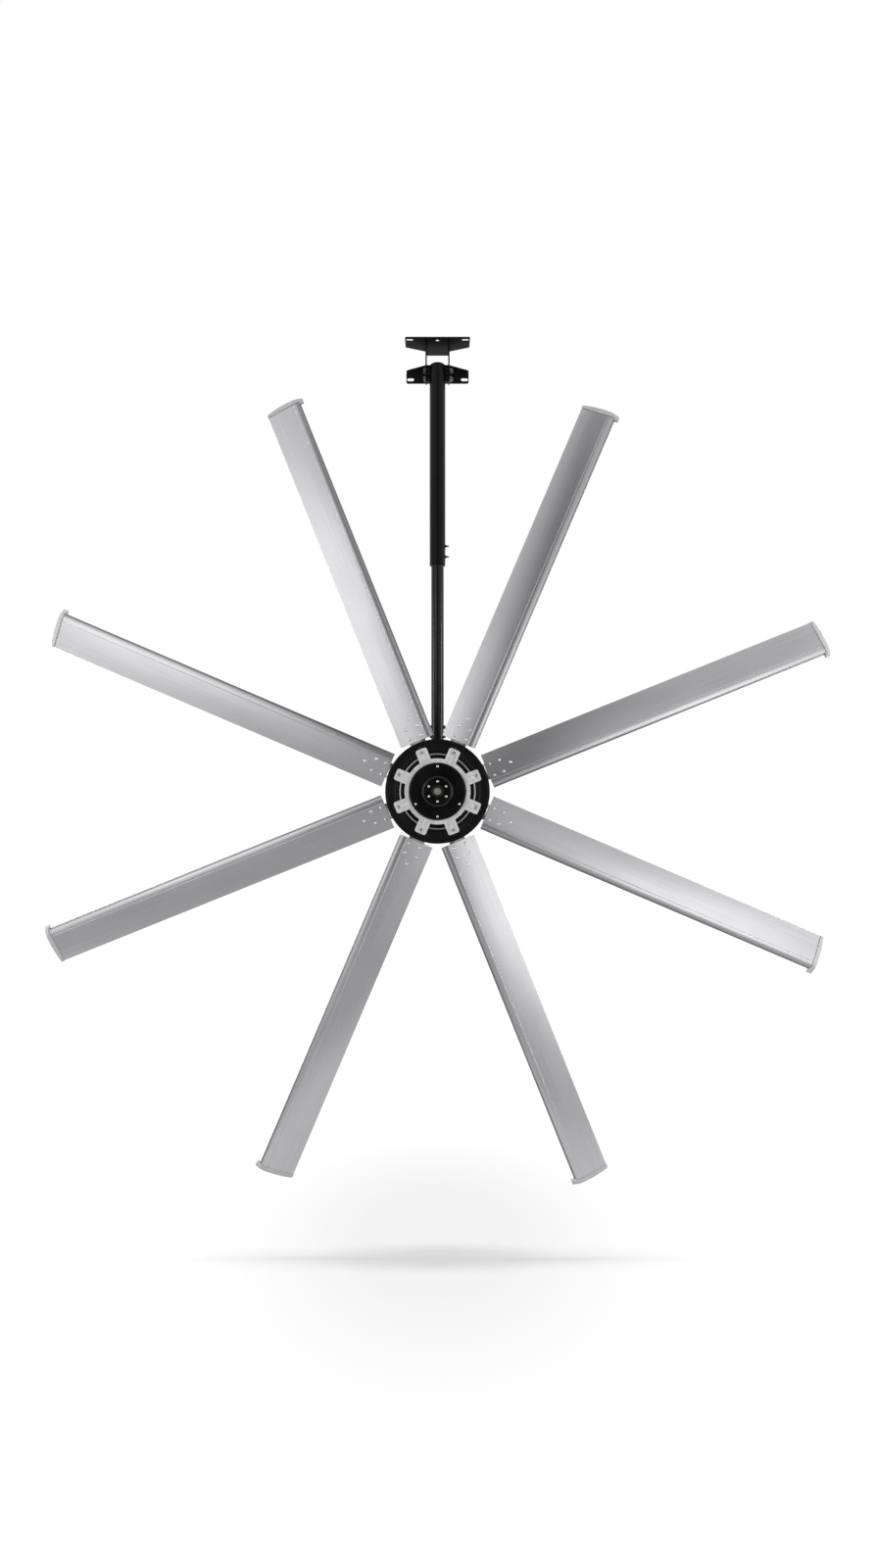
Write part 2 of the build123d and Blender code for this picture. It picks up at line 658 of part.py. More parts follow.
def pivot_nuts():
    """Nuts inside the bracket's ears."""
    return both_sides_inwards(nut(PIVOT_HEAD_FLATS, PIVOT_NUT_HEIGHT, PIVOT_RADIUS), ear_inner, -HUB_DROP)


def tilt_lock_bolts():
    """Lock bolts through the yoke's arms and the arc slots."""
    length = arm_outer - ear_inner + SIDE_PLAY + LOCK_NUT_HEIGHT
    bolt = hex_bolt(LOCK_HEAD_FLATS, LOCK_HEAD_HEIGHT, LOCK_BOLT_RADIUS, length)
    return both_sides(bolt, arm_outer, LOCK_ARC_RADIUS - HUB_DROP)


def tilt_lock_nuts():
    """Round clamp nuts inside the bracket's ears."""
    piece = ring(LOCK_BOLT_RADIUS, LOCK_NUT_RADIUS, 0, LOCK_NUT_HEIGHT)
    return both_sides_inwards(piece, ear_inner - SIDE_PLAY, LOCK_ARC_RADIUS - HUB_DROP)


# Fixed part of the motor, in the rotor's frame


def stator_shaft():
    """Hollow stepped shaft that the supply cable passes through."""
    tail = bracket_rear_station - SHAFT_TAIL
    nose = front_bearing_end + SHAFT_NOSE
    return lathe(
        [
            (SHAFT_BORE_RADIUS, tail),
            (SHAFT_NECK_RADIUS, tail),
            (SHAFT_NECK_RADIUS, bracket_front_station),
            (SHAFT_SHOULDER_RADIUS, bracket_front_station),
            (SHAFT_SHOULDER_RADIUS, REAR_BEARING_STATION),
            (BEARING_BORE_RADIUS, REAR_BEARING_STATION),
            (BEARING_BORE_RADIUS, rear_bearing_end),
            (CORE_BORE_RADIUS, rear_bearing_end),
            (CORE_BORE_RADIUS, FRONT_BEARING_STATION),
            (BEARING_BORE_RADIUS, FRONT_BEARING_STATION),
            (BEARING_BORE_RADIUS, nose),
            (SHAFT_BORE_RADIUS, nose),
        ]
    )


def shaft_nut():
    """Large nut that holds the shaft on the tilt bracket."""
    piece = nut(SHAFT_NUT_FLATS, SHAFT_NUT_HEIGHT, SHAFT_NECK_RADIUS)
    return Location((0, 0, bracket_rear_station), (180, 0, 0)) * piece


def cable_gland():
    """Gland with a stepped hexagon at the shaft's rear end."""
    tail = bracket_rear_station - SHAFT_TAIL
    collar = hexagon(2 * GLAND_RADIUS, GLAND_COLLAR) - disc(GLAND_BORE_RADIUS, -CUT, GLAND_LENGTH)
    nose = ring(GLAND_BORE_RADIUS, GLAND_NOSE_RADIUS, GLAND_COLLAR, GLAND_LENGTH)
    return Pos(0, 0, tail) * (Rot(180, 0, 0) * (collar + nose))


def stator_core():
    """Laminated core: hub, arms, back ring and teeth with shoes."""
    root = core_radius - TOOTH_DEPTH
    back = root - CORE_BACK_THICKNESS
    start = CORE_REAR_STATION
    end = core_front_station
    core = ring(CORE_BORE_RADIUS, CORE_BORE_RADIUS + CORE_HUB_THICKNESS, start, end)
    core += ring(back, root, start, end)
    arm_start = CORE_BORE_RADIUS + CORE_HUB_THICKNESS / 2
    arm_end = back + CORE_BACK_THICKNESS / 2
    arm = block((arm_start, -CORE_ARM_WIDTH / 2, start), (arm_end, CORE_ARM_WIDTH / 2, end))
    core += around(arm, even(CORE_ARM_COUNT))
    neck_end = core_radius - TOOTH_SHOE_THICKNESS / 2
    neck = block((root - CUT, -TOOTH_WIDTH / 2, start), (neck_end, TOOTH_WIDTH / 2, end))
    shoe_half = math.pi * core_radius / TOOTH_COUNT - TOOTH_OPENING / 2
    shoe_low = (core_radius - TOOTH_SHOE_THICKNESS, -shoe_half, start)
    shoe = block(shoe_low, (core_radius + CUT, shoe_half, end)) & disc(core_radius, start, end)
    core += around(neck + shoe, even(TOOTH_COUNT))
    return core


def stator_windings():
    """One closed coil round each tooth."""
    half = TOOTH_WIDTH / 2 + COIL_GAP
    side = math.pi * coil_inner / TOOTH_COUNT - COIL_SPACE / 2 - half
    outer = core_radius - TOOTH_SHOE_THICKNESS - COIL_GAP
    reach = half + side
    low = CORE_REAR_STATION - COIL_GAP
    high = core_front_station + COIL_GAP
    coil = block((coil_inner, -reach, low - COIL_OVERHANG), (outer, reach, high + COIL_OVERHANG))
    coil = fillet(coil.edges().filter_by(Axis.X), side / 2)
    coil -= block((coil_inner - CUT, -half, low), (outer + CUT, half, high))
    return around(coil, even(TOOTH_COUNT))


def inner_race(start):
    """Inner race with its ball groove."""
    radius = BEARING_BORE_RADIUS + RACE_THICKNESS
    pitch = (BEARING_BORE_RADIUS + BEARING_OUTER_RADIUS) / 2
    groove = Pos(0, 0, start + BEARING_WIDTH / 2) * Torus(pitch, BALL_RADIUS + BALL_GAP)
    return ring(BEARING_BORE_RADIUS, radius, start, start + BEARING_WIDTH) - groove


def outer_race(start):
    """Outer race with its ball groove."""
    radius = BEARING_OUTER_RADIUS - RACE_THICKNESS
    pitch = (BEARING_BORE_RADIUS + BEARING_OUTER_RADIUS) / 2
    groove = Pos(0, 0, start + BEARING_WIDTH / 2) * Torus(pitch, BALL_RADIUS + BALL_GAP)
    return ring(radius, BEARING_OUTER_RADIUS, start, start + BEARING_WIDTH) - groove


def balls(start):
    """Balls of one bearing."""
    pitch = (BEARING_BORE_RADIUS + BEARING_OUTER_RADIUS) / 2
    ball = Pos(pitch, 0, start + BEARING_WIDTH / 2) * Sphere(BALL_RADIUS)
    return around(ball, even(BALL_COUNT))


# Rotor, in its own frame


def rotor_can():
    """Cast rear housing with the rear bearing's seat and the strut flange."""
    rear_wall = CAN_REAR_STATION + CAN_WALL
    can = lathe(
        [
            (RETAINER_LIP_RADIUS, REAR_BEARING_STATION - RETAINER_LIP),
            (housing_radius, REAR_BEARING_STATION - RETAINER_LIP),
            (housing_radius, CAN_REAR_STATION),
            (can_radius, CAN_REAR_STATION),
            (can_radius, can_flange_rear),
            (DISH_RADIUS, can_flange_rear),
            (DISH_RADIUS, -strut_half),
            (can_inner_radius, -strut_half),
            (can_inner_radius, rear_wall),
            (housing_radius, rear_wall),
            (housing_radius, rear_bearing_end),
            (BEARING_OUTER_RADIUS, rear_bearing_end),
            (BEARING_OUTER_RADIUS, REAR_BEARING_STATION),
            (RETAINER_LIP_RADIUS, REAR_BEARING_STATION),
        ]
    )
    hole = Pos(dish_screw_circle, 0, 0) * disc(DISH_SCREW_RADIUS, can_flange_rear - CUT, 0)
    for cutter in around(hole, BLADE_ANGLES):
        can -= cutter
    return can


def rotor_magnets():
    """Magnets inside the can, with a narrow space between neighbours."""
    start = CORE_REAR_STATION
    magnets = ring(can_inner_radius - MAGNET_THICKNESS, can_inner_radius, start, -strut_half)
    space_low = (core_radius, -MAGNET_SPACE / 2, start - CUT)
    space = block(space_low, (can_inner_radius + CUT, MAGNET_SPACE / 2, -strut_half + CUT))
    for cutter in around(space, even(MAGNET_COUNT)):
        magnets -= cutter
    return magnets


def hub_dish():
    """Front casting: bearing seat, collar, finned ring, ridge, rim and a skirt with strut windows."""
    rim_inner = DISH_RADIUS - RIM_WIDTH
    lip = floor + LIP_RISE
    groove_outer = DISH_RADIUS - LIP_WIDTH
    groove_inner = groove_outer - RIM_GROOVE_WIDTH
    ridge = RIDGE_WIDTH / 2
    fin_outer = DISH_RADIUS - FIN_INSET
    fin_inner = fin_outer - FIN_LENGTH
    dish = lathe(
        [
            (BEARING_OUTER_RADIUS, FRONT_BEARING_STATION),
            (housing_radius, FRONT_BEARING_STATION),
            (housing_radius, strut_half),
            (DISH_RADIUS - SKIRT_THICKNESS, strut_half),
            (DISH_RADIUS - SKIRT_THICKNESS, -strut_half),
            (DISH_RADIUS, -strut_half),
            (DISH_RADIUS, lip),
            (groove_outer, lip),
            (groove_outer, lip - RIM_GROOVE_DEPTH),
            (groove_inner, lip - RIM_GROOVE_DEPTH),
            (groove_inner, lip),
            (rim_inner + LIP_WIDTH, lip),
            (rim_inner, floor),
            (ridge_radius + ridge, floor),
            (ridge_radius + ridge / 2, floor + RIDGE_RISE),
            (ridge_radius - ridge / 2, floor + RIDGE_RISE),
            (ridge_radius - ridge, floor),
            (fin_outer, floor),
            (fin_outer, floor + FIN_RISE),
            (fin_inner, floor + FIN_RISE),
            (fin_inner, floor),
            (cap_inner, floor),
            (cap_inner, floor + COLLAR_RISE),
            (cap_inner - COLLAR_WIDTH, floor + COLLAR_RISE),
            (cap_inner - COLLAR_WIDTH, floor),
            (housing_radius, floor),
            (housing_radius, front_bearing_end + RETAINER_LIP),
            (RETAINER_LIP_RADIUS, front_bearing_end + RETAINER_LIP),
            (RETAINER_LIP_RADIUS, front_bearing_end),
            (BEARING_OUTER_RADIUS, front_bearing_end),
        ]
    )
    fin_slot = block(
        (fin_inner - CUT, -FIN_SLOT_WIDTH / 2, floor + FIN_RISE - FIN_SLOT_DEPTH),
        (fin_outer + CUT, FIN_SLOT_WIDTH / 2, floor + FIN_RISE + CUT),
    )
    dish -= around(fin_slot, even(FIN_COUNT))
    window_half = STRUT_WIDTH / 2 + STRUT_WINDOW_GAP
    skirt_low = (DISH_RADIUS - 2 * SKIRT_THICKNESS, -window_half, -strut_half - CUT)
    window = block(skirt_low, (DISH_RADIUS + SKIRT_THICKNESS, window_half, strut_half))
    dish -= around(window, BLADE_ANGLES)
    dish_hole = Pos(dish_screw_circle, 0, 0) * disc(DISH_SCREW_RADIUS, 0, floor + CUT)
    dish -= around(dish_hole, BLADE_ANGLES)
    finger_hole = Pos(ridge_radius, 0, 0) * disc(FINGER_SCREW_RADIUS, 0, floor + 2 * RIDGE_RISE)
    dish -= around(finger_hole, BLADE_ANGLES)
    return dish - cap_hole_cutters(cap_screw_circle, CAP_SCREW_ANGLES, cap_front)


def dish_ring():
    """Bare metal ring on the dish's floor."""
    outer = DISH_RADIUS - DISH_RING_INSET
    band = ring(outer - DISH_RING_WIDTH, outer, floor, floor + DISH_RING_HEIGHT)
    return fillet(band.edges().group_by(Axis.Z)[-1], DISH_RING_EDGE)


def finger():
    """One finger of the spider, along local X."""
    under = floor + FINGER_TOP - FINGER_THICKNESS
    half = FINGER_WIDTH / 2
    top = floor + FINGER_TOP
    start = (spider_inner + spider_radius) / 2
    piece = block((start, -half, under), (finger_end, half, top))
    piece += block((finger_end - FINGER_FOOT_LENGTH, -half, floor), (finger_end, half, under))
    piece = fillet(piece.edges().filter_by(Axis.Z).group_by(Axis.X)[-1], FINGER_CORNER_RADIUS)
    inner = spider_inner + FINGER_GROOVE_INNER_GAP
    outer = finger_end - FINGER_GROOVE_OUTER_GAP
    side = FINGER_GROOVE_WIDTH / 2
    for middle in (-FINGER_GROOVE_OFFSET, FINGER_GROOVE_OFFSET):
        piece -= block((inner, middle - side, top - FINGER_GROOVE_DEPTH), (outer, middle + side, top + CUT))
    hole = disc(FINGER_SCREW_RADIUS + BOLT_HOLE_GAP, floor - CUT, top + CUT)
    hole += disc(FINGER_SCREW_HEAD_RADIUS + BOLT_HOLE_GAP, top - COUNTERBORE_DEPTH, top + CUT)
    return piece - Pos(ridge_radius, 0, 0) * hole


def spider():
    """Cast ring with one finger over each strut."""
    piece = ring(spider_inner, spider_radius, floor, floor + SPIDER_RING_HEIGHT)
    piece += around(finger(), BLADE_ANGLES)
    half = RIDGE_WIDTH / 2 + RIDGE_CLEARANCE
    relief_top = floor + RIDGE_RISE + RIDGE_CLEARANCE
    return piece - ring(ridge_radius - half, ridge_radius + half, floor - CUT, relief_top)


def finger_screws():
    """Screws sunk in the fingers and tapped into the dish."""
    seat = floor + FINGER_TOP - COUNTERBORE_DEPTH
    length = seat - strut_half
    screw = dome_screw(FINGER_SCREW_HEAD_RADIUS, FINGER_SCREW_HEAD_HEIGHT, FINGER_SCREW_RADIUS, length)
    return around(Pos(ridge_radius, 0, seat) * screw, BLADE_ANGLES)


def dish_screws():
    """Screws through dish, strut and can flange."""
    length = floor - can_flange_rear
    screw = dome_screw(DISH_SCREW_HEAD_RADIUS, DISH_SCREW_HEAD_HEIGHT, DISH_SCREW_RADIUS, length)
    return around(Pos(dish_screw_circle, 0, floor) * screw, BLADE_ANGLES)


def cap_hole_cutters(circle, angles, end):
    """Screw holes that run back from a front face."""
    hole = Pos(circle, 0, 0) * disc(CAP_SCREW_RADIUS, end - CAP_SCREW_LENGTH, end + CUT)
    return around(hole, angles)


def front_cap():
    """Round cap over the hub's middle."""
    seat = floor + COLLAR_RISE
    cap = lathe(
        [
            (PLUG_STEM_RADIUS, cap_front - CAP_SHELL),
            (cap_inner - COLLAR_WIDTH - CAP_SHELL, cap_front - CAP_SHELL),
            (cap_inner - COLLAR_WIDTH - CAP_SHELL, seat),
            (cap_inner, seat),
            (cap_inner, floor),
            (cap_radius, floor),
            (cap_radius, cap_front - CAP_EDGE),
            (cap_radius - CAP_EDGE, cap_front),
            (PLUG_STEM_RADIUS, cap_front),
        ]
    )
    cap -= cap_hole_cutters(cap_screw_circle, CAP_SCREW_ANGLES, cap_front)
    cover_angles = even(COVER_SCREW_COUNT, COVER_SCREW_FIRST_DEG)
    cap -= cap_hole_cutters(COVER_SCREW_CIRCLE_RADIUS, cover_angles, cover_front)
    return cap


def boss_cover():
    """Raised round cover in the middle of the cap."""
    cover = lathe(
        [
            (PLUG_STEM_RADIUS, cap_front),
            (COVER_RADIUS, cap_front),
            (COVER_RADIUS, cover_front - COVER_EDGE),
            (COVER_RADIUS - COVER_EDGE, cover_front),
            (PLUG_STEM_RADIUS, cover_front),
        ]
    )
    cover_angles = even(COVER_SCREW_COUNT, COVER_SCREW_FIRST_DEG)
    cover -= cap_hole_cutters(COVER_SCREW_CIRCLE_RADIUS, cover_angles, cover_front)
    return cover


def cap_screws():
    """Alike small screws of the cap and of its raised cover."""
    screw = dome_screw(CAP_SCREW_HEAD_RADIUS, CAP_SCREW_HEAD_HEIGHT, CAP_SCREW_RADIUS, CAP_SCREW_LENGTH)
    outer = around(Pos(cap_screw_circle, 0, cap_front) * screw, CAP_SCREW_ANGLES)
    cover_angles = even(COVER_SCREW_COUNT, COVER_SCREW_FIRST_DEG)
    return outer + around(Pos(COVER_SCREW_CIRCLE_RADIUS, 0, cover_front) * screw, cover_angles)


def centre_washer():
    """Washer round the centre plug."""
    return ring(PLUG_RADIUS + WASHER_GAP, WASHER_RADIUS, cover_front, cover_front + WASHER_HEIGHT)


def centre_plug():
    """Plug with a stem through cover and cap."""
    head = disc(PLUG_RADIUS, cover_front, cover_front + PLUG_HEIGHT)
    return head + disc(PLUG_STEM_RADIUS, cap_front - CAP_SHELL, cover_front)


# Struts, blades and end caps, along local X of the rotor's frame


def far_circle():
    """Centre and radius of the arc that forms the blade's far side."""
    first = (tip_centre, tip_height - NOSE_TIP_RADIUS)
    second = (-CROWN_OFFSET, -near_face - BLADE_CROWN)
    third = (chord_half, near_face - TRAILING_DROP - TRAILING_THICKNESS)
    ax, ay = first
    bx, by = second
    cx, cy = third
    d = 2 * (ax * (by - cy) + bx * (cy - ay) + cx * (ay - by))
    sa = ax**2 + ay**2
    sb = bx**2 + by**2
    sc = cx**2 + cy**2
    x = (sa * (by - cy) + sb * (cy - ay) + sc * (ay - by)) / d
    y = (sa * (cx - bx) + sb * (ax - cx) + sc * (bx - ax)) / d
    return x, y, math.hypot(ax - x, ay - y)


def far_side(across, inset=0.0):
    """Height of the far side at a place across the blade."""
    x, y, radius = far_circle()
    return y - math.sqrt((radius - inset) ** 2 - (across - x) ** 2)


def nose_side(inset=0.0):
    """Round tip and curved band at the nose, from the far side to the near face, drawn in by an inset."""
    radius = band_radius - inset
    half = nose_slope / 2
    start = (band_start, near_face - inset)
    middle = (band_start - radius * math.sin(half), band_centre + radius * math.cos(half))
    end = (band_start - radius * math.sin(nose_slope), band_centre + radius * math.cos(nose_slope))
    under = (tip_centre, far_side(tip_centre, inset))
    return ThreePointArc(under, (inset - chord_half, tip_height), end) + ThreePointArc(end, middle, start)


def blade_outline():
    """Outer section: round nose with its curved band, groove, broad flat face and curved far side."""
    groove = (band_start + NOSE_GROOVE_WIDTH / 2, near_face - NOSE_GROOVE_DEPTH)
    groove_end = (band_start + NOSE_GROOVE_WIDTH, near_face)
    trailing = (chord_half, near_face - TRAILING_DROP)
    rear = (chord_half, far_side(chord_half))
    face = Polyline((band_start, near_face), groove, groove_end, trailing, rear)
    far = ThreePointArc(rear, (0.0, far_side(0.0)), (tip_centre, far_side(tip_centre)))
    return make_face(nose_side() + face + far)


def blade_cavity():
    """Inner section: three chambers parted by two webs."""
    inner_face = near_face - BLADE_WALL
    rear = chord_half - REAR_CAVITY_MARGIN
    rear_far = (rear, far_side(rear, BLADE_WALL))
    face = Polyline((band_start, inner_face), (rear, inner_face), rear_far)
    middle = (0.0, far_side(0.0, BLADE_WALL))
    far = ThreePointArc(rear_far, middle, (tip_centre, far_side(tip_centre, BLADE_WALL)))
    cavity = make_face(nose_side(BLADE_WALL) + face + far)
    web = STRUT_WIDTH / 2 + STRUT_SIDE_GAP + BLADE_WALL / 2
    for side in (-1, 1):
        cavity -= Pos(side * web, 0) * Rectangle(BLADE_WALL, BLADE_CHORD)
    return cavity


def section_plane(radius):
    """Plane across the blade at a radius; its local X is local Y of the rotor's frame."""
    return Plane(origin=(radius, 0, 0), x_dir=(0, 1, 0), z_dir=(1, 0, 0))


def bolt_cutters(extra):
    """Holes for the blade bolts."""
    hole = disc(BLADE_BOLT_RADIUS + extra, -BLADE_CHORD / 4, BLADE_CHORD / 4)
    return [Pos(blade_root + along, across, 0) * hole for along, across in blade_bolt_places]


def blade():
    """Hollow extruded blade without its pitch."""
    section = blade_outline() - blade_cavity()
    body = extrude(section_plane(blade_root) * section, blade_tip - blade_root)
    return body - bolt_cutters(0.0)


def pitched(shape):
    """Turns a piece about the blade's own axis; the nose comes forward."""
    return Rot(-BLADE_PITCH_DEG, 0, 0) * shape


def strut():
    """Flat bar: root clamped in the hub, short twist, and a pitched end inside the blade."""
    half = STRUT_WIDTH / 2
    twist_start = DISH_RADIUS + STRUT_TWIST_START_GAP
    root = block((strut_root, -half, -strut_half), (twist_start, half, strut_half))
    flat = section_plane(twist_start) * Rectangle(STRUT_WIDTH, STRUT_ROOT_THICKNESS)
    turned = pitched(section_plane(blade_root) * Rectangle(STRUT_WIDTH, STRUT_THICKNESS))
    twist = loft([flat, turned], ruled=True)
    end_low = (blade_root, -half, -STRUT_THICKNESS / 2)
    end = pitched(block(end_low, (strut_tip, half, STRUT_THICKNESS / 2)) - bolt_cutters(0.0))
    hole = Pos(dish_screw_circle, 0, 0) * disc(DISH_SCREW_RADIUS, -strut_half - CUT, strut_half + CUT)
    return root + twist + end - hole


def nut_seat(across):
    """Height at which a nut clears the curved far side, taken at the lowest place under the nut."""
    reach = BLADE_NUT_FLATS / math.sqrt(3)
    lowest, _, _ = far_circle()
    return far_side(min(max(lowest, across - reach), across + reach))


def blade_bolt_set():
    """Bolts of one blade, heads on the near face."""
    bolts = []
    for along, across in blade_bolt_places:
        length = near_face - nut_seat(across) + BLADE_NUT_HEIGHT
        bolt = dome_screw(BLADE_BOLT_HEAD_RADIUS, BLADE_BOLT_HEAD_HEIGHT, BLADE_BOLT_RADIUS, length)
        bolts.append(pitched(Pos(blade_root + along, across, near_face) * bolt))
    return bolts


def blade_nut_set():
    """Nuts of one blade, on the far side."""
    piece = Rot(180, 0, 0) * nut(BLADE_NUT_FLATS, BLADE_NUT_HEIGHT, BLADE_BOLT_RADIUS)
    places = [(blade_root + along, across, nut_seat(across)) for along, across in blade_bolt_places]
    return [pitched(Pos(*place) * piece) for place in places]


def end_cap_outline():
    """Section of the cap: the blade's section with a margin and an overhang at the nose."""
    margin = CAP_END_MARGIN
    reach = -chord_half - CAP_END_OVERHANG
    top = (band_start, near_face + margin)
    knee = (reach + CAP_END_TIP_RADIUS, tip_height + CAP_END_TIP_RADIUS)
    heel = (reach + CAP_END_TIP_RADIUS, tip_height - CAP_END_TIP_RADIUS)
    under = (tip_centre, far_side(tip_centre) - margin)
    rear = chord_half + margin / 2
    rear_far = (rear, far_side(chord_half) - margin)
    band = TangentArc(top, knee, tangent=(-1, 0))
    nose = band + ThreePointArc(knee, (reach, tip_height), heel) + Line(heel, under)
    face = Polyline(top, (rear, near_face - TRAILING_DROP + margin), rear_far)
    far = ThreePointArc(rear_far, (0.0, far_side(0.0) - margin), under)
    return make_face(nose + face + far)


def end_cap():
    """Moulded cap with a crowned outer face, a hook at the nose and a plug inside the blade."""
    tip_radius = FAN_DIAMETER / 2
    outline = end_cap_outline()
    body = extrude(section_plane(blade_tip) * outline, CAP_END_THICKNESS)
    hook = extrude(section_plane(blade_tip - CAP_HOOK_LENGTH) * outline, CAP_HOOK_LENGTH)
    hook &= block(
        (blade_tip - CAP_HOOK_LENGTH, -2 * chord_half, -BLADE_CHORD),
        (blade_tip, -chord_half - BLADE_WALL, BLADE_CHORD),
    )
    half = chord_half + CAP_END_OVERHANG / 2
    crown = (half**2 + CAP_END_BULGE**2) / (2 * CAP_END_BULGE)
    drum = Pos(tip_radius - crown, -CAP_END_OVERHANG / 2, 0) * Cylinder(crown, BLADE_CHORD)
    plug_half = STRUT_WIDTH / 2 + STRUT_SIDE_GAP - CAP_PLUG_GAP
    plug_low = (blade_tip - CAP_PLUG_DEPTH, -plug_half, -STRUT_THICKNESS / 2 + CAP_PLUG_GAP)
    plug = block(plug_low, (blade_tip, plug_half, STRUT_THICKNESS / 2 - CAP_PLUG_GAP))
    return pitched(((body + hook) & drum) + plug)


def write_hanger():
    """Nodes that stay with the ceiling."""
    save("ceiling_plate", ceiling_plate())
    save("wall_plate", wall_plate())
    save("cheek_left", cheek(-1))
    save("cheek_right", cheek(1))
    save("hanger_bolts", hanger_bolts())
    save("hanger_nuts", hanger_nuts())
    save("hanger_spacers", hanger_spacers())
    save("outer_tube", outer_tube())
    save("clamp_screws", clamp_screws())
    save("clamp_lock_nuts", clamp_lock_nuts())


def write_drop():
    """Nodes that slide with the lower tube."""
    save("inner_tube", inner_tube())
    save("foot_coupling", foot_coupling())
    save("coupling_bolts", coupling_bolts())
    save("coupling_nuts", coupling_nuts())
    save("flange_bolts", flange_bolts())
    save("yoke", yoke())
    save("tilt_lock_bolts", tilt_lock_bolts())
    save("tilt_lock_nuts", tilt_lock_nuts())


def write_motor():
    """Nodes that tilt and do not spin."""
    save("tilt_bracket", tilt_bracket())
    save("pivot_bolts", pivot_bolts())
    save("pivot_nuts", pivot_nuts())
    save_rotor("stator_shaft", stator_shaft())
    save_rotor("shaft_nut", shaft_nut())
    save_rotor("cable_gland", cable_gland())
    save_rotor("stator_core", stator_core())
    save_rotor("stator_windings", stator_windings())
    save_rotor("bearing_inner_races", [inner_race(REAR_BEARING_STATION), inner_race(FRONT_BEARING_STATION)])
    save_rotor("bearing_balls", balls(REAR_BEARING_STATION) + balls(FRONT_BEARING_STATION))


def write_hub():
    """Nodes of the spinning hub."""
    save_rotor("bearing_outer_races", [outer_race(REAR_BEARING_STATION), outer_race(FRONT_BEARING_STATION)])
    save_rotor("rotor_can", rotor_can())
    save_rotor("rotor_magnets", rotor_magnets())
    save_rotor("hub_dish", hub_dish())
    save_rotor("dish_ring", dish_ring())
    save_rotor("spider", spider())
    save_rotor("finger_screws", finger_screws())
    save_rotor("dish_screws", dish_screws())
    save_rotor("front_cap", front_cap())
    save_rotor("boss_cover", boss_cover())
    save_rotor("cap_screws", cap_screws())
    save_rotor("centre_washer", centre_washer())
    save_rotor("centre_plug", centre_plug())


def write_blades():
    """Struts, blades, end caps and their fasteners."""
    one_blade = pitched(blade())
    one_cap = end_cap()
    for number, angle in enumerate(BLADE_ANGLES, start=1):
        save_rotor(f"blade_{number}", Rot(0, 0, angle) * one_blade)
        save_rotor(f"end_cap_{number}", Rot(0, 0, angle) * one_cap)
    save_rotor("blade_struts", around(strut(), BLADE_ANGLES))
    save_rotor("blade_bolts", [bolt for one in blade_bolt_set() for bolt in around(one, BLADE_ANGLES)])
    save_rotor("blade_nuts", [piece for one in blade_nut_set() for piece in around(one, BLADE_ANGLES)])


os.makedirs("parts", exist_ok=True)
write_hanger()
write_drop()
write_motor()
write_hub()
write_blades()
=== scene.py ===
# %% [markdown]
# Industrial ceiling fan, dressed for its portrait.
# Eight extruded aluminium blades turn on a flat gearless motor, which hangs from a telescoping rod.
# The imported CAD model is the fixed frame. Every surface below is built round it, in metres, with +Z up.
# The rotor faces -Y, towards the camera.

# %% Load the frame
import json

import bpy
import numpy as np
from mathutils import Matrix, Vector


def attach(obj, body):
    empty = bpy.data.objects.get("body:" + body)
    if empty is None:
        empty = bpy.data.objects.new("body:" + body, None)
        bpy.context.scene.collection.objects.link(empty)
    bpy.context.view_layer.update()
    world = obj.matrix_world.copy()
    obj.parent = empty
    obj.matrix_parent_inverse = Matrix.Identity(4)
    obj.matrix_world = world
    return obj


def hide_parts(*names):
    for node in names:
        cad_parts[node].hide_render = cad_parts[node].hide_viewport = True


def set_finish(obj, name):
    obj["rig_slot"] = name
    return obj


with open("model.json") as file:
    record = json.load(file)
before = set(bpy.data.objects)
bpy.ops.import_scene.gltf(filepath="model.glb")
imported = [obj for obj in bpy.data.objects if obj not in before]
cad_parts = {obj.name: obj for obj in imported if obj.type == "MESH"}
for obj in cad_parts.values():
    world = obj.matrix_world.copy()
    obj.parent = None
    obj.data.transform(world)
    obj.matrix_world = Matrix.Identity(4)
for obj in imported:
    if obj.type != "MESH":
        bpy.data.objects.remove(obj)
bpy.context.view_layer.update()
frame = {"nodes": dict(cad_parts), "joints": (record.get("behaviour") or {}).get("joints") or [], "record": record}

# %% [markdown]
# The rotor's own frame makes its pieces easy to write down: local x to the right, local y up and
# local z out of the front. The joint that spins the fan says where that frame sits in the room.

# %% Places taken from the frame
spin = next(joint for joint in frame["joints"] if joint["name"] == "fan_spin")
hub = np.array(spin["pos_m"])
print("hub centre:", hub)


def to_room(points):
    """Rotor coordinates to room coordinates: x stays, local z becomes -y and local y becomes z."""
    points = np.asarray(points, float)
    return np.stack([points[..., 0] + hub[0], hub[1] - points[..., 2], hub[2] + points[..., 1]], axis=-1)


# %% [markdown]
# Sizes of the real fan, in metres. They are the ones that the CAD pieces have, so that each new
# surface lies on what carries it. Heights in the hub are measured from the plane of the blades.

# %% Sizes
BLADE_COUNT = 8
FIRST_BLADE = np.radians(21.9)
BLADE_PITCH = np.radians(-11.0)
DISH_RADIUS = 0.191
BLADE_ROOT = 0.198
BLADE_TIP = 1.5085
FAN_RADIUS = 1.524
CHORD = 0.130
BLADE_NEAR = 0.006
BLADE_WALL = 0.002
STRUT_HALF = 0.006
FLOOR = 0.012
CAP_RADIUS = 0.104
CAP_FRONT = 0.036
COVER_RADIUS = 0.056
COVER_FRONT = 0.046
blade_angles = FIRST_BLADE + 2 * np.pi * np.arange(BLADE_COUNT) / BLADE_COUNT
print("blade angles:", np.degrees(blade_angles).round(1))

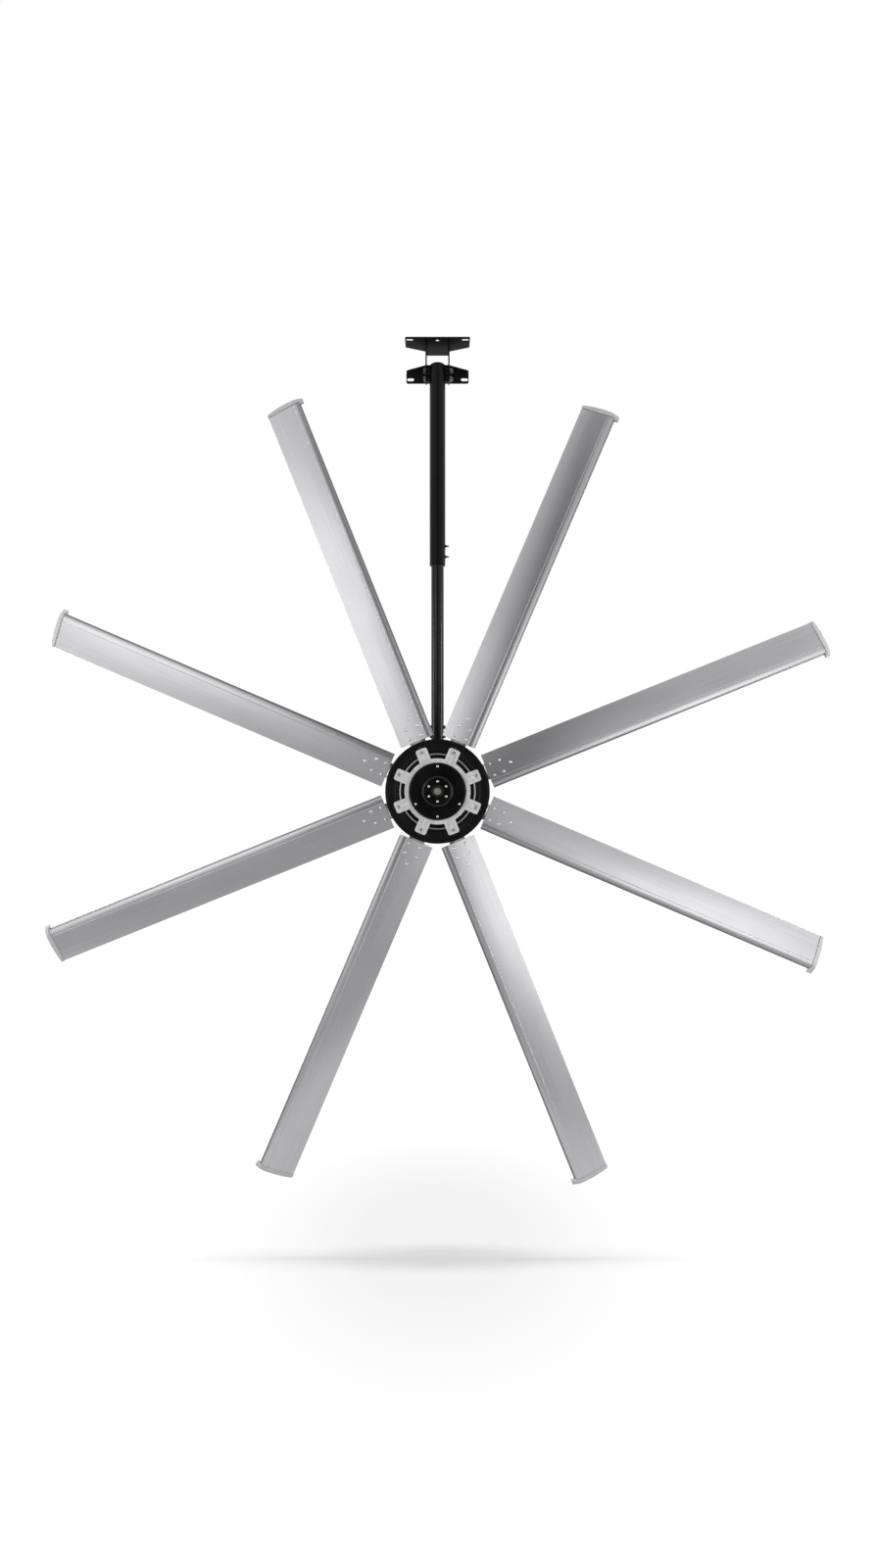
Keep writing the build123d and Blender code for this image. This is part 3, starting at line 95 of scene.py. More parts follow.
# %% [markdown]
# A mesh is only arrays: points, and faces that name them. One helper turns a grid of points into an
# object. It closes the grid where asked, works out the signed volume and turns the faces outwards
# when that volume comes out negative. The volume is the sum of the tetrahedra from the origin.

# %% From arrays to a mesh object


def grid_faces(rows, columns, wrap_rows, wrap_columns):
    """Quads of a grid whose points are numbered row by row. A wrapped side joins its last line to its
    first."""
    i = np.arange(rows if wrap_rows else rows - 1)
    j = np.arange(columns if wrap_columns else columns - 1)
    i, j = np.meshgrid(i, j, indexing="ij")
    right = (j + 1) % columns
    down = (i + 1) % rows
    this_row = i * columns
    next_row = down * columns
    quads = np.stack([this_row + j, this_row + right, next_row + right, next_row + j], axis=-1)
    return quads.reshape(-1, 4)


def signed_volume(points, quads):
    """Sum over each quad's two triangles of a . (b x c) / 6."""
    a, b, c, d = (points[quads[:, k]] for k in range(4))
    first = np.einsum("ij,ij->i", a, np.cross(b, c))
    second = np.einsum("ij,ij->i", a, np.cross(c, d))
    return (first.sum() + second.sum()) / 6


def merged(parts):
    """Joins (points, quads) parts into one pair of arrays, each part turned outwards first."""
    offset = 0
    all_points = []
    all_quads = []
    for points, quads in parts:
        if signed_volume(points - points.mean(0), quads) < 0:
            quads = quads[:, ::-1]
        all_points.append(points)
        all_quads.append(quads + offset)
        offset += len(points)
    return np.concatenate(all_points), np.concatenate(all_quads)


def mesh_object(name, points, quads, uv=None):
    """Object at the origin with smooth faces, and a UV map where one is given for its points."""
    mesh = bpy.data.meshes.new(name)
    mesh.from_pydata(points.tolist(), [], quads.tolist())
    mesh.polygons.foreach_set("use_smooth", np.ones(len(mesh.polygons), bool))
    if uv is not None:
        corners = np.zeros(len(mesh.loops), np.int32)
        mesh.loops.foreach_get("vertex_index", corners)
        mesh.uv_layers.new(name="UVMap").data.foreach_set("uv", uv[corners].ravel())
    piece = bpy.data.objects.new(name, mesh)
    bpy.context.scene.collection.objects.link(piece)
    return piece


def weld(piece, distance=1e-6):
    """Merges doubled points and drops faces that this leaves without area."""
    bpy.context.view_layer.objects.active = piece
    for other in bpy.context.selected_objects:
        other.select_set(False)
    piece.select_set(True)
    bpy.ops.object.mode_set(mode="EDIT")
    bpy.ops.mesh.select_all(action="SELECT")
    bpy.ops.mesh.remove_doubles(threshold=distance)
    bpy.ops.mesh.dissolve_degenerate(threshold=distance)
    bpy.ops.object.mode_set(mode="OBJECT")
    return piece


def sharp_by_angle(piece, degrees):
    """Keeps shading smooth except over edges that turn more than this angle."""
    mesh = piece.data
    mesh.set_sharp_from_angle(angle=np.radians(degrees))
    return piece


# %% [markdown]
# Cast and spun parts have no sharp corner: each edge is a small radius, and that radius is what
# catches the light. A profile is a short list of corners with a radius each, and every corner is
# replaced by an arc. The arc is a rational Bezier curve, which is a true circle when the middle
# weight is the sine of half the corner's angle.

# %% Rounded profiles


def rounded(corners, closed=True, steps=6):
    """Corner list of (u, v, radius) to an outline; each corner is swapped for a circular arc that is tangent
    to both of its sides, and is never longer than 0.48 of the shorter side."""
    corners = np.asarray(corners, float)
    point = corners[:, :2]
    before = np.roll(point, 1, axis=0) - point
    after = np.roll(point, -1, axis=0) - point
    before_length = np.linalg.norm(before, axis=1)
    after_length = np.linalg.norm(after, axis=1)
    before /= before_length[:, None]
    after /= after_length[:, None]
    half = 0.5 * np.arccos(np.clip((before * after).sum(1), -1, 1))
    reach = corners[:, 2] / np.maximum(np.tan(half), 1e-6)
    reach = np.minimum(reach, 0.48 * np.minimum(before_length, after_length))
    if not closed:
        reach[[0, -1]] = 0
    start = point + before * reach[:, None]
    end = point + after * reach[:, None]
    t = np.linspace(0, 1, steps)[None, :, None]
    weight = np.sin(half)[:, None, None]
    top = (1 - t) ** 2 * start[:, None] + 2 * weight * t * (1 - t) * point[:, None] + t**2 * end[:, None]
    arcs = top / ((1 - t) ** 2 + 2 * weight * t * (1 - t) + t**2)
    outline = arcs.reshape(-1, 2)
    step = np.linalg.norm(np.diff(outline, axis=0, prepend=outline[-1:]), axis=1)
    keep = step > 1e-7
    keep[0] = True
    return outline[keep]


def turned(profile, segments=96, wave=None):
    """Solid of revolution about local z: the point (r, z) of a closed profile goes round at radius r.
    wave(r, z, angle) may return a height to add at that place."""
    angle = 2 * np.pi * np.arange(segments) / segments
    r = profile[:, 0][:, None]
    z = np.broadcast_to(profile[:, 1][:, None], (len(profile), segments)).copy()
    if wave is not None:
        z += wave(r, z, angle[None, :])
    points = np.stack([r * np.cos(angle), r * np.sin(angle), z], axis=-1)
    return points.reshape(-1, 3), grid_faces(len(profile), segments, True, True)


def placed(part, turn=0.0, shift=(0.0, 0.0, 0.0)):
    """Part turned about local z and then moved."""
    points, quads = part
    c, s = np.cos(turn), np.sin(turn)
    spun = points @ np.array([[c, s, 0.0], [-s, c, 0.0], [0.0, 0.0, 1.0]])
    return spun + np.asarray(shift), quads


def round_pattern(part, radius, angles, height=0.0):
    """Copies of a part at one radius, each turned with its place."""
    return [
        placed(part, a, (radius * np.cos(a), radius * np.sin(a), height))
        for a in angles
    ]


# %% [markdown]
# Everything on the rotor is added by the same few lines: merge the arrays, move them from the
# rotor's frame to the room, weld the seam and the poles, and let the piece ride on its body.

# %% Adding a piece to the fan
made = {}


def add_piece(name, parts, body, slot, replaced, uv=None, sharp=40.0):
    """Builds one piece, rides it on a body and lets it stand for the CAD nodes that it replaces."""
    points, quads = merged(parts)
    points = to_room(points)
    if signed_volume(points - points.mean(0), quads) < 0:
        quads = quads[:, ::-1]
    piece = mesh_object(name, points, quads, uv)
    if uv is None:
        weld(piece)
    sharp_by_angle(piece, sharp)
    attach(piece, body)
    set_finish(piece, slot)
    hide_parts(*replaced)
    made[name] = piece
    print(f"{name}: {len(piece.data.vertices)} points, {len(piece.data.polygons)} faces")
    return piece


# %% [markdown]
# The blade is one aluminium extrusion: a broad flat face, a curved band that falls to the round nose
# with a fine groove beside it, and a curved far side. One section holds for the whole length, so the
# mesh is a section carried along a straight path. The outer outline and the same outline drawn in by
# the wall are joined at both ends, which leaves the blade hollow. The section's own length, measured
# along the outline, and the distance from the root become the UV map that the brushing follows.

# %% Blade section
NOSE_BAND = 0.027
NOSE_SLOPE = np.radians(32.0)
NOSE_TIP_RADIUS = 0.0036
GROOVE_WIDTH = 0.0025
GROOVE_DEPTH = 0.0009
CROWN = 0.005
TRAILING_DROP = 0.0006
TRAILING_THICKNESS = 0.0024
FAR_LOW_POINT = -0.0104
half_chord = CHORD / 2
band_start = NOSE_BAND - half_chord
tip_centre = NOSE_TIP_RADIUS - half_chord
band_radius = (band_start - tip_centre) / np.sin(NOSE_SLOPE) + NOSE_TIP_RADIUS
band_centre = BLADE_NEAR - band_radius
tip_height = band_centre + (band_radius - NOSE_TIP_RADIUS) * np.cos(NOSE_SLOPE)


def circle_through(a, b, c):
    """Centre and radius of the circle through three points, from the two perpendicular bisectors."""
    a, b, c = (np.asarray(p, float) for p in (a, b, c))
    matrix = 2 * np.array([b - a, c - a])
    centre = np.linalg.solve(matrix, [b @ b - a @ a, c @ c - a @ a])
    return centre, np.linalg.norm(a - centre)


far_centre, far_radius = circle_through(
    (tip_centre, tip_height - NOSE_TIP_RADIUS),
    (FAR_LOW_POINT, -BLADE_NEAR - CROWN),
    (half_chord, BLADE_NEAR - TRAILING_DROP - TRAILING_THICKNESS),
)


def far_side(across):
    """Height of the curved far side: the lower half of its circle."""
    return far_centre[1] - np.sqrt(far_radius**2 - (across - far_centre[0]) ** 2)


def arc(centre, radius, start, end, count):
    """Points on a circle from one angle to another: centre + radius * (cos, sin)."""
    turn = np.linspace(start, end, count)
    return np.asarray(centre) + radius * np.stack([np.cos(turn), np.sin(turn)], axis=-1)


def blade_section():
    """Outline of the blade as (across, height): round tip, curved band, groove, face and far side."""
    meeting = np.pi / 2 + NOSE_SLOPE
    tip = arc((tip_centre, tip_height), NOSE_TIP_RADIUS, 1.5 * np.pi, meeting, 13)
    band = arc((band_start, band_centre), band_radius, meeting, np.pi / 2, 11)
    face = rounded(
        [
            (band_start, BLADE_NEAR, 0),
            (band_start + GROOVE_WIDTH / 2, BLADE_NEAR - GROOVE_DEPTH, 0.0004),
            (band_start + GROOVE_WIDTH, BLADE_NEAR, 0.0005),
            (half_chord, BLADE_NEAR - TRAILING_DROP, 0.0007),
            (half_chord, far_side(half_chord), 0.0007),
        ],
        closed=False,
        steps=5,
    )
    across = np.linspace(half_chord, tip_centre, 26)[1:-1]
    far = np.stack([across, far_side(across)], axis=-1)
    return np.concatenate([tip, band[1:-1], face, far])


def drawn_in(outline, wall):
    """Outline moved inwards by the wall along its normals, which are its turned tangents."""
    tangent = np.roll(outline, -1, axis=0) - np.roll(outline, 1, axis=0)
    tangent /= np.linalg.norm(tangent, axis=1)[:, None]
    across, height = outline.T
    area = 0.5 * np.sum(across * np.roll(height, -1) - np.roll(across, -1) * height)
    normal = np.stack([-tangent[:, 1], tangent[:, 0]], axis=-1) * np.sign(area)
    return outline + wall * normal


section = blade_section()
print("blade section:", len(section), "points,", round(np.ptp(section[:, 1]) * 1000, 1), "mm thick")

# %% [markdown]
# The pitch turns each blade about its own long axis, which brings its nose forwards. All eight
# blades are the same arrays, turned about the hub.

# %% Blades
WEB_OFFSET = 0.032
WEB_REAR_STOP = 0.052
END_STEP = 0.0006
FIRST_STATION = 0.35


def pitched(points):
    """Turns points about local x by the blade pitch."""
    c, s = np.cos(BLADE_PITCH), np.sin(BLADE_PITCH)
    return points @ np.array([[1.0, 0.0, 0.0], [0.0, c, s], [0.0, -s, c]])


def along_blade(outline, stations):
    """Sweeps an outline of (across, height) along local x: one row of points for each station."""
    rows = [np.column_stack([np.full(len(outline), x), outline]) for x in stations]
    return np.stack(rows)


def slab(x0, x1, y0, y1, z0, z1):
    """Closed box as eight points and six quads."""
    points = np.array([(x, y, z) for x in (x0, x1) for y in (y0, y1) for z in (z0, z1)], float)
    quads = np.array([(0, 1, 3, 2), (4, 6, 7, 5), (0, 4, 5, 1), (2, 3, 7, 6), (0, 2, 6, 4), (1, 5, 7, 3)])
    return points, quads


def blade_shell():
    """Outer skin root to tip, inner skin back to the root; the loop of rows closes at both ends."""
    spread = np.linspace(FIRST_STATION, BLADE_TIP - END_STEP, 6)
    stations = np.concatenate([[BLADE_ROOT, BLADE_ROOT + END_STEP], spread, [BLADE_TIP]])
    outer = along_blade(section, stations)
    inner = along_blade(drawn_in(section, BLADE_WALL), stations[[-1, 0]])
    rows = np.concatenate([outer, inner])
    rim = np.cumsum(np.linalg.norm(np.diff(section, axis=0, prepend=section[:1]), axis=1))
    uv = np.stack([np.broadcast_to(rim, rows.shape[:2]), rows[..., 0]], axis=-1)
    return rows.reshape(-1, 3), grid_faces(*rows.shape[:2], True, True), uv.reshape(-1, 2)


def blade_webs():
    """The two webs that part the hollow into three chambers, and the solid trailing edge."""
    half = BLADE_WALL / 2
    webs = []
    for middle in (-WEB_OFFSET, WEB_OFFSET):
        low = far_side(middle) + half
        webs.append(slab(BLADE_ROOT, BLADE_TIP, middle - half, middle + half, low, BLADE_NEAR - half))
    rear_low = far_side(WEB_REAR_STOP) + half
    webs.append(slab(BLADE_ROOT, BLADE_TIP, WEB_REAR_STOP, half_chord - half, rear_low, BLADE_NEAR - half))
    return webs


shell_points, shell_quads, shell_uv = blade_shell()
web_parts = blade_webs()
blade_parts = [(pitched(points), quads) for points, quads in [(shell_points, shell_quads), *web_parts]]
web_uv = np.concatenate([points[:, [1, 0]] for points, _ in web_parts])
blade_uv = np.concatenate([shell_uv, web_uv])
for number, angle in enumerate(blade_angles, start=1):
    parts = [placed(part, angle) for part in blade_parts]
    replaced = [f"blade_{number}"]
    add_piece(f"blade_skin_{number}", parts, "rotor", "blade_aluminium", replaced, uv=blade_uv, sharp=30.0)

# %% [markdown]
# A moulded cap closes each blade. It overhangs the nose with a small hook, its outer face is crowned
# and its edges are soft. The outline is the blade's with a margin. It is carried outwards in rows:
# the wall, a rounded edge, then rows that shrink to the middle and climb the crown.

# %% End caps
CAP_BULGE = 0.006
CAP_MARGIN = 0.0025
CAP_OVERHANG = 0.013
CAP_TIP_RADIUS = 0.004
CAP_HOOK = 0.007
CAP_HOOK_RUN = 0.003
CAP_EDGE = 0.0018
CAP_EDGE_SHRINK = 0.06
CAP_INNER_SHRINK = 0.985
CAP_PLUG_DEPTH = 0.012
CAP_PLUG_HALF = 0.0035


def cap_outline():
    """Line under the overhang, its round tip, the band, the near face, the trailing edge and the far side."""
    near = BLADE_NEAR + CAP_MARGIN
    tip_across = CAP_TIP_RADIUS - half_chord - CAP_OVERHANG
    tip = arc((tip_across, tip_height), CAP_TIP_RADIUS, 1.5 * np.pi, np.pi / 2, 15)
    low = np.array([tip_centre, far_side(tip_centre) - CAP_MARGIN])
    under = low + (tip[0] - low) * np.linspace(0, 1, 5)[:-1, None]
    run = band_start - tip_across
    fall = near - tip[-1, 1]
    radius = (run**2 + fall**2) / (2 * fall)
    band = arc((band_start, near - radius), radius, np.pi / 2 + np.arcsin(run / radius), np.pi / 2, 12)
    rear = half_chord + CAP_MARGIN / 2
    trailing = BLADE_NEAR - TRAILING_DROP + CAP_MARGIN
    face = rounded(
        [
            (band_start, near, 0),
            (rear, trailing, 0.002),
            (rear, far_side(half_chord) - CAP_MARGIN, 0.002),
        ],
        closed=False,
        steps=5,
    )
    across = np.linspace(rear, tip_centre, 26)[1:-1]
    far = np.stack([across, far_side(np.minimum(across, half_chord)) - CAP_MARGIN], axis=-1)
    run_across = np.linspace(band_start, rear, 14)[1:-2]
    face_run = np.column_stack([run_across, np.interp(run_across, [band_start, rear], [near, trailing])])
    return np.concatenate([under, tip, band[1:], face_run, face[1:], far])


def end_cap_rows():
    """Rows of the cap from the middle of its inner face, round its wall, to the middle of its outer face.
    The crown is a circle across the chord, so it falls with the square of the distance from its middle."""
    outline = cap_outline()
    middle = np.array([-CAP_OVERHANG / 2, outline[:, 1].mean()])
    half_width = np.abs(outline[:, 0] - middle[0]).max()
    crown_radius = (half_width**2 + CAP_BULGE**2) / (2 * CAP_BULGE)

    def row(shrink, base, crowned):
        flat = middle + (outline - middle) * shrink
        flat[:, 1] = middle[1] + (outline[:, 1] - middle[1]) * shrink**1.5
        fall = crown_radius - np.sqrt(crown_radius**2 - (flat[:, 0] - middle[0]) ** 2)
        return np.column_stack([base - crowned * fall, flat])

    hook = np.clip((-half_chord - BLADE_WALL - outline[:, 0]) / CAP_HOOK_RUN, 0, 1)
    inner_wall = row(1.0, BLADE_TIP, 0.0)
    inner_wall[:, 0] -= CAP_HOOK * hook * hook * (3 - 2 * hook)
    lowered = inner_wall.copy()
    lowered[:, 1:] = middle + (outline - middle) * CAP_INNER_SHRINK
    turn = np.linspace(0, np.pi / 2, 5)
    edge = [
        row(1 - CAP_EDGE_SHRINK * (1 - np.cos(a)), FAN_RADIUS - CAP_EDGE * (1 - np.sin(a)), 1.0)
        for a in turn
    ]
    face = [row(s, FAN_RADIUS, 1.0) for s in (0.8, 0.55, 0.3, 0.1, 0.0)]
    inner = [row(0.0, BLADE_TIP, 0.0), row(0.5, BLADE_TIP, 0.0), lowered, inner_wall]
    return np.stack(inner + edge + face)


cap_rows = end_cap_rows()
cap_part = (pitched(cap_rows.reshape(-1, 3)), grid_faces(*cap_rows.shape[:2], False, True))
plug_half = WEB_OFFSET - BLADE_WALL
cap_plug = slab(BLADE_TIP - CAP_PLUG_DEPTH, BLADE_TIP, -plug_half, plug_half, -CAP_PLUG_HALF, CAP_PLUG_HALF)
plug_part = (pitched(cap_plug[0]), cap_plug[1])
for number, angle in enumerate(blade_angles, start=1):
    parts = [placed(cap_part, angle), placed(plug_part, angle)]
    replaced = [f"end_cap_{number}"]
    add_piece(f"end_cap_moulding_{number}", parts, "rotor", "end_cap_plastic", replaced, sharp=50.0)

# %% [markdown]
# Five button-head screws hold each blade on its strut. A button head is a shallow dome with a socket
# sunk in its middle. It is a turned profile too, and the forty heads are one piece.

# %% Blade screws
SOCKET_FLOOR = 0.35
SOCKET_TAPER = 0.92
BLADE_SCREWS = ((0.017, -0.023), (0.017, 0.023), (0.055, -0.023), (0.055, 0.023), (0.091, 0.0))


def button_head(radius, height, socket, shank, length, segments=28):
    """Domed head with a socket sunk to a share of the head's height, and a shank below."""
    ball = (radius**2 + height**2) / (2 * height)
    rise = np.linspace(socket, radius, 7)
    dome = np.column_stack([rise, height - ball + np.sqrt(ball**2 - rise**2), np.zeros(7)])
    floor = height * SOCKET_FLOOR
    tail = [(shank, 0.0, 0.0), (shank, -length, 0.0), (0.0, -length, 0.0)]
    profile = np.concatenate([[(0.0, floor, 0.0), (socket * SOCKET_TAPER, floor, 0.0)], dome, tail])
    return turned(profile[:, :2], segments)


blade_screw = button_head(radius=0.0056, height=0.0034, socket=0.0021, shank=0.003, length=0.014)
parts = []
for angle in blade_angles:
    for along, across in BLADE_SCREWS:
        moved = (pitched(blade_screw[0] + [BLADE_ROOT + along, across, BLADE_NEAR]), blade_screw[1])
        parts.append(placed(moved, angle))
add_piece("blade_screw_heads", parts, "rotor", "zinc_fastener", ["blade_bolts"])

# %% [markdown]
# The hub is a stack of turned parts: a wide black dish with a rolled rim, a bare ring on its floor,
# a round cap over the middle, a raised cover on the cap, and a washer and plug at the centre.
# Each is a profile with small radii. The dish also has a belt of little cooling fins, made by adding
# a wave in the angle to the height of the profile points that lie in the belt.

# %% Hub dish
FIN_INNER = 0.122
FIN_OUTER = 0.131
FIN_RISE = 0.007
FIN_COUNT = 48
FIN_STEEPNESS = 3.0
FIN_GAP_DEPTH = 0.65
RIDGE_RADIUS = 0.1515
RIDGE_HALF = 0.0055
RIDGE_RISE = 0.003
LIP_RISE = 0.0065
RIM_WIDTH = 0.013
RIM_WALL = 0.006
RIM_GROOVE = 0.003
DISH_BORE = 0.045
DISH_BACK = 0.004
BOSS_RADIUS = 0.058
BOSS_BORE = 0.036
BOSS_FRONT = 0.028
BOSS_SHELF = 0.024
CAP_SEAT_INNER = 0.0843
CAP_SEAT_OUTER = 0.1003
CAP_SEAT_RISE = 0.014
BREAK = 0.0005


def fin_wave(r, z, angle):
    """Lowers the top of the belt between fins; the cosine is steepened into a rounded tooth."""
    tooth = 0.5 + 0.5 * np.tanh(FIN_STEEPNESS * np.cos(FIN_COUNT * angle))
    belt = (r > FIN_INNER - 1e-4) & (r < FIN_OUTER + 1e-4) & (z > FLOOR + 0.6 * FIN_RISE)
    return np.where(belt, -FIN_GAP_DEPTH * FIN_RISE * (1 - tooth), 0.0)


lip = FLOOR + LIP_RISE
rim_inner = DISH_RADIUS - RIM_WIDTH
wall_inner = DISH_RADIUS - RIM_WALL
seat_front = FLOOR + CAP_SEAT_RISE
dish_profile = rounded(
    [
        (DISH_BORE, DISH_BACK, BREAK),
        (BOSS_RADIUS, DISH_BACK, BREAK),
        (BOSS_RADIUS, STRUT_HALF, BREAK),
        (wall_inner, STRUT_HALF, BREAK),
        (wall_inner, -STRUT_HALF, BREAK),
        (DISH_RADIUS, -STRUT_HALF, 0.001),
        (DISH_RADIUS, lip, 0.0012),
        (DISH_RADIUS - 0.003, lip, 0.0008),
        (DISH_RADIUS - 0.0035, lip - RIM_GROOVE, 0.0006),
        (DISH_RADIUS - 0.0055, lip - RIM_GROOVE, 0.0006),
        (wall_inner, lip, 0.0008),
        (rim_inner + 0.003, lip, 0.0015),
        (rim_inner, FLOOR, 0.0015),
        (RIDGE_RADIUS + RIDGE_HALF, FLOOR, 0.002),
        (RIDGE_RADIUS + RIDGE_HALF / 2, FLOOR + RIDGE_RISE, 0.002),
        (RIDGE_RADIUS - RIDGE_HALF / 2, FLOOR + RIDGE_RISE, 0.002),
        (RIDGE_RADIUS - RIDGE_HALF, FLOOR, 0.002),
        (FIN_OUTER, FLOOR, 0.0004),
        (FIN_OUTER, FLOOR + FIN_RISE, 0.0008),
        (FIN_INNER, FLOOR + FIN_RISE, 0.0008),
        (FIN_INNER, FLOOR, 0.0004),
        (CAP_SEAT_OUTER, FLOOR, BREAK),
        (CAP_SEAT_OUTER, seat_front, BREAK),
        (CAP_SEAT_INNER, seat_front, BREAK),
        (CAP_SEAT_INNER, FLOOR, BREAK),
        (BOSS_RADIUS, FLOOR, BREAK),
        (BOSS_RADIUS, BOSS_FRONT, BREAK),
        (BOSS_BORE, BOSS_FRONT, BREAK),
        (BOSS_BORE, BOSS_SHELF, BREAK),
        (DISH_BORE, BOSS_SHELF, BREAK),
    ],
    steps=5,
)
dish_part = turned(dish_profile, 384, fin_wave)
add_piece("dish_casting", [dish_part], "rotor", "black_casting", ["hub_dish"])

# %% Ring, cap, cover, washer and plug
RING_INNER = 0.1335
RING_OUTER = 0.139
RING_RISE = 0.009
CAP_SHELL = 0.004
CAP_SKIRT_INNER = 0.0803
CENTRE_BORE = 0.008
COVER_SHOULDER = 0.004
WASHER_BORE = 0.0126
WASHER_RADIUS = 0.0215
WASHER_RISE = 0.0025
PLUG_RADIUS = 0.0125
PLUG_RISE = 0.004
PLUG_SOCKET_RISE = 0.0028
FINE_BREAK = 0.0003

ring_front = FLOOR + RING_RISE
ring_profile = rounded(
    [
        (RING_INNER, FLOOR, 0.0002),
        (RING_OUTER, FLOOR, 0.0002),
        (RING_OUTER, ring_front, 0.0022),
        (RING_INNER, ring_front, 0.0022),
    ]
)
add_piece("floor_ring", [turned(ring_profile, 192)], "rotor", "bare_metal", ["dish_ring"])

cap_inner_face = CAP_FRONT - CAP_SHELL
cap_profile = rounded(
    [
        (CENTRE_BORE, cap_inner_face, FINE_BREAK),
        (CAP_SKIRT_INNER, cap_inner_face, FINE_BREAK),
        (CAP_SKIRT_INNER, seat_front, FINE_BREAK),
        (CAP_SEAT_OUTER, seat_front, FINE_BREAK),
        (CAP_SEAT_OUTER, FLOOR, FINE_BREAK),
        (CAP_RADIUS, FLOOR, FINE_BREAK),
        (CAP_RADIUS, CAP_FRONT, 0.0045),
        (COVER_RADIUS + 0.004, CAP_FRONT, 0.001),
        (CENTRE_BORE, CAP_FRONT, FINE_BREAK),
    ],
    steps=9,
)
add_piece("cap_shell", [turned(cap_profile, 192)], "rotor", "gloss_black", ["front_cap"])

cover_profile = rounded(
    [
        (CENTRE_BORE, CAP_FRONT, FINE_BREAK),
        (COVER_RADIUS, CAP_FRONT, FINE_BREAK),
        (COVER_RADIUS, COVER_FRONT - COVER_SHOULDER, 0.002),
        (COVER_RADIUS - 0.006, COVER_FRONT, 0.006),
        (CENTRE_BORE, COVER_FRONT, FINE_BREAK),
    ],
    steps=9,
)
add_piece("cover_dome", [turned(cover_profile, 160)], "rotor", "gloss_black", ["boss_cover"])

washer_front = COVER_FRONT + WASHER_RISE
washer_profile = rounded(
    [
        (WASHER_BORE, COVER_FRONT, 0.0002),
        (WASHER_RADIUS, COVER_FRONT, 0.0002),
        (WASHER_RADIUS, washer_front, 0.0008),
        (WASHER_BORE, washer_front, 0.0008),
    ]
)
add_piece("washer_disc", [turned(washer_profile, 96)], "rotor", "bronze_washer", ["centre_washer"])

plug_profile = rounded(
    [
        (0.0, cap_inner_face, 0.0),
        (CENTRE_BORE, cap_inner_face, FINE_BREAK),
        (CENTRE_BORE, COVER_FRONT, FINE_BREAK),
        (PLUG_RADIUS, COVER_FRONT, FINE_BREAK),
        (PLUG_RADIUS, COVER_FRONT + PLUG_RISE, 0.0012),
        (0.0045, COVER_FRONT + PLUG_RISE, 0.0006),
        (0.0035, COVER_FRONT + PLUG_SOCKET_RISE, 0.0004),
        (0.0, COVER_FRONT + PLUG_SOCKET_RISE, 0.0),
    ]
)
add_piece("plug_disc", [turned(plug_profile, 96)], "rotor", "bare_metal", ["centre_plug"])

# %% [markdown]
# The hub's screws are button heads of three sizes: four on the cap and six on its cover, one in each
# finger of the spider and one in each bay of the dish.

# %% Hub screws
CAP_SCREW_CIRCLE = 0.091
COVER_SCREW_CIRCLE = 0.036
FINGER_SCREW_CIRCLE = 0.1515
DISH_SCREW_CIRCLE = 0.172
FINGER_SEAT = 0.027

small_size = {"radius": 0.0044, "height": 0.0026, "socket": 0.0015, "shank": 0.0025, "length": 0.014}
small_screw = button_head(**small_size, segments=24)
cap_places = np.radians([90.0, 210.0, 270.0, 330.0])
cover_places = np.radians(30.0 + 60.0 * np.arange(6))
parts = round_pattern(small_screw, CAP_SCREW_CIRCLE, cap_places, CAP_FRONT)
parts += round_pattern(small_screw, COVER_SCREW_CIRCLE, cover_places, COVER_FRONT)
add_piece("cap_screw_heads", parts, "rotor", "zinc_fastener", ["cap_screws"])

finger_size = {"radius": 0.0056, "height": 0.004, "socket": 0.0022, "shank": 0.004, "length": 0.021}
finger_screw = button_head(**finger_size, segments=24)
parts = round_pattern(finger_screw, FINGER_SCREW_CIRCLE, blade_angles, FINGER_SEAT)
add_piece("finger_screw_heads", parts, "rotor", "zinc_fastener", ["finger_screws"])

dish_size = {"radius": 0.0055, "height": 0.0035, "socket": 0.0021, "shank": 0.003, "length": 0.026}
dish_screw = button_head(**dish_size, segments=24)
parts = round_pattern(dish_screw, DISH_SCREW_CIRCLE, blade_angles, FLOOR)
add_piece("dish_screw_heads", parts, "rotor", "black_fastener", ["dish_screws"])

# %% [markdown]
# Plates, cheeks, nuts and the cast spider already have their true shape in the frame, but their
# edges are knife sharp. A copy of the node is welded, its flat faces are dissolved to single
# polygons, and a Bevel modifier breaks the edges as a file or a casting mould does.

# %% Softened copies of frame nodes


def softened(node, body, slot, width, segments=2, angle=35.0):
    """Copy of a CAD node with small rounded edges."""
    source = frame["nodes"][node]
    mesh = source.data.copy()
    mesh.materials.clear()
    piece = bpy.data.objects.new(f"{node}_finished", mesh)
    bpy.context.scene.collection.objects.link(piece)
    weld(piece, 2e-6)
    bpy.context.view_layer.objects.active = piece
    bpy.ops.object.mode_set(mode="EDIT")
    bpy.ops.mesh.select_all(action="SELECT")
    bpy.ops.mesh.dissolve_limited(angle_limit=np.radians(1.0))
    bpy.ops.object.mode_set(mode="OBJECT")
    mesh.normals_split_custom_set([(0.0, 0.0, 0.0)] * len(mesh.loops))
    mesh.polygons.foreach_set("use_smooth", np.ones(len(mesh.polygons), bool))
    sharp_by_angle(piece, angle)
    bevel = piece.modifiers.new("Edges", "BEVEL")
    bevel.width = width
    bevel.segments = segments
    bevel.limit_method = "ANGLE"
    bevel.angle_limit = np.radians(angle)
    bevel.harden_normals = True
    bevel.use_clamp_overlap = True
    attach(piece, body)
    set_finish(piece, slot)
    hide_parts(node)
    made[piece.name] = piece
    print(f"{piece.name}: {len(mesh.polygons)} faces before its bevel")
    return piece


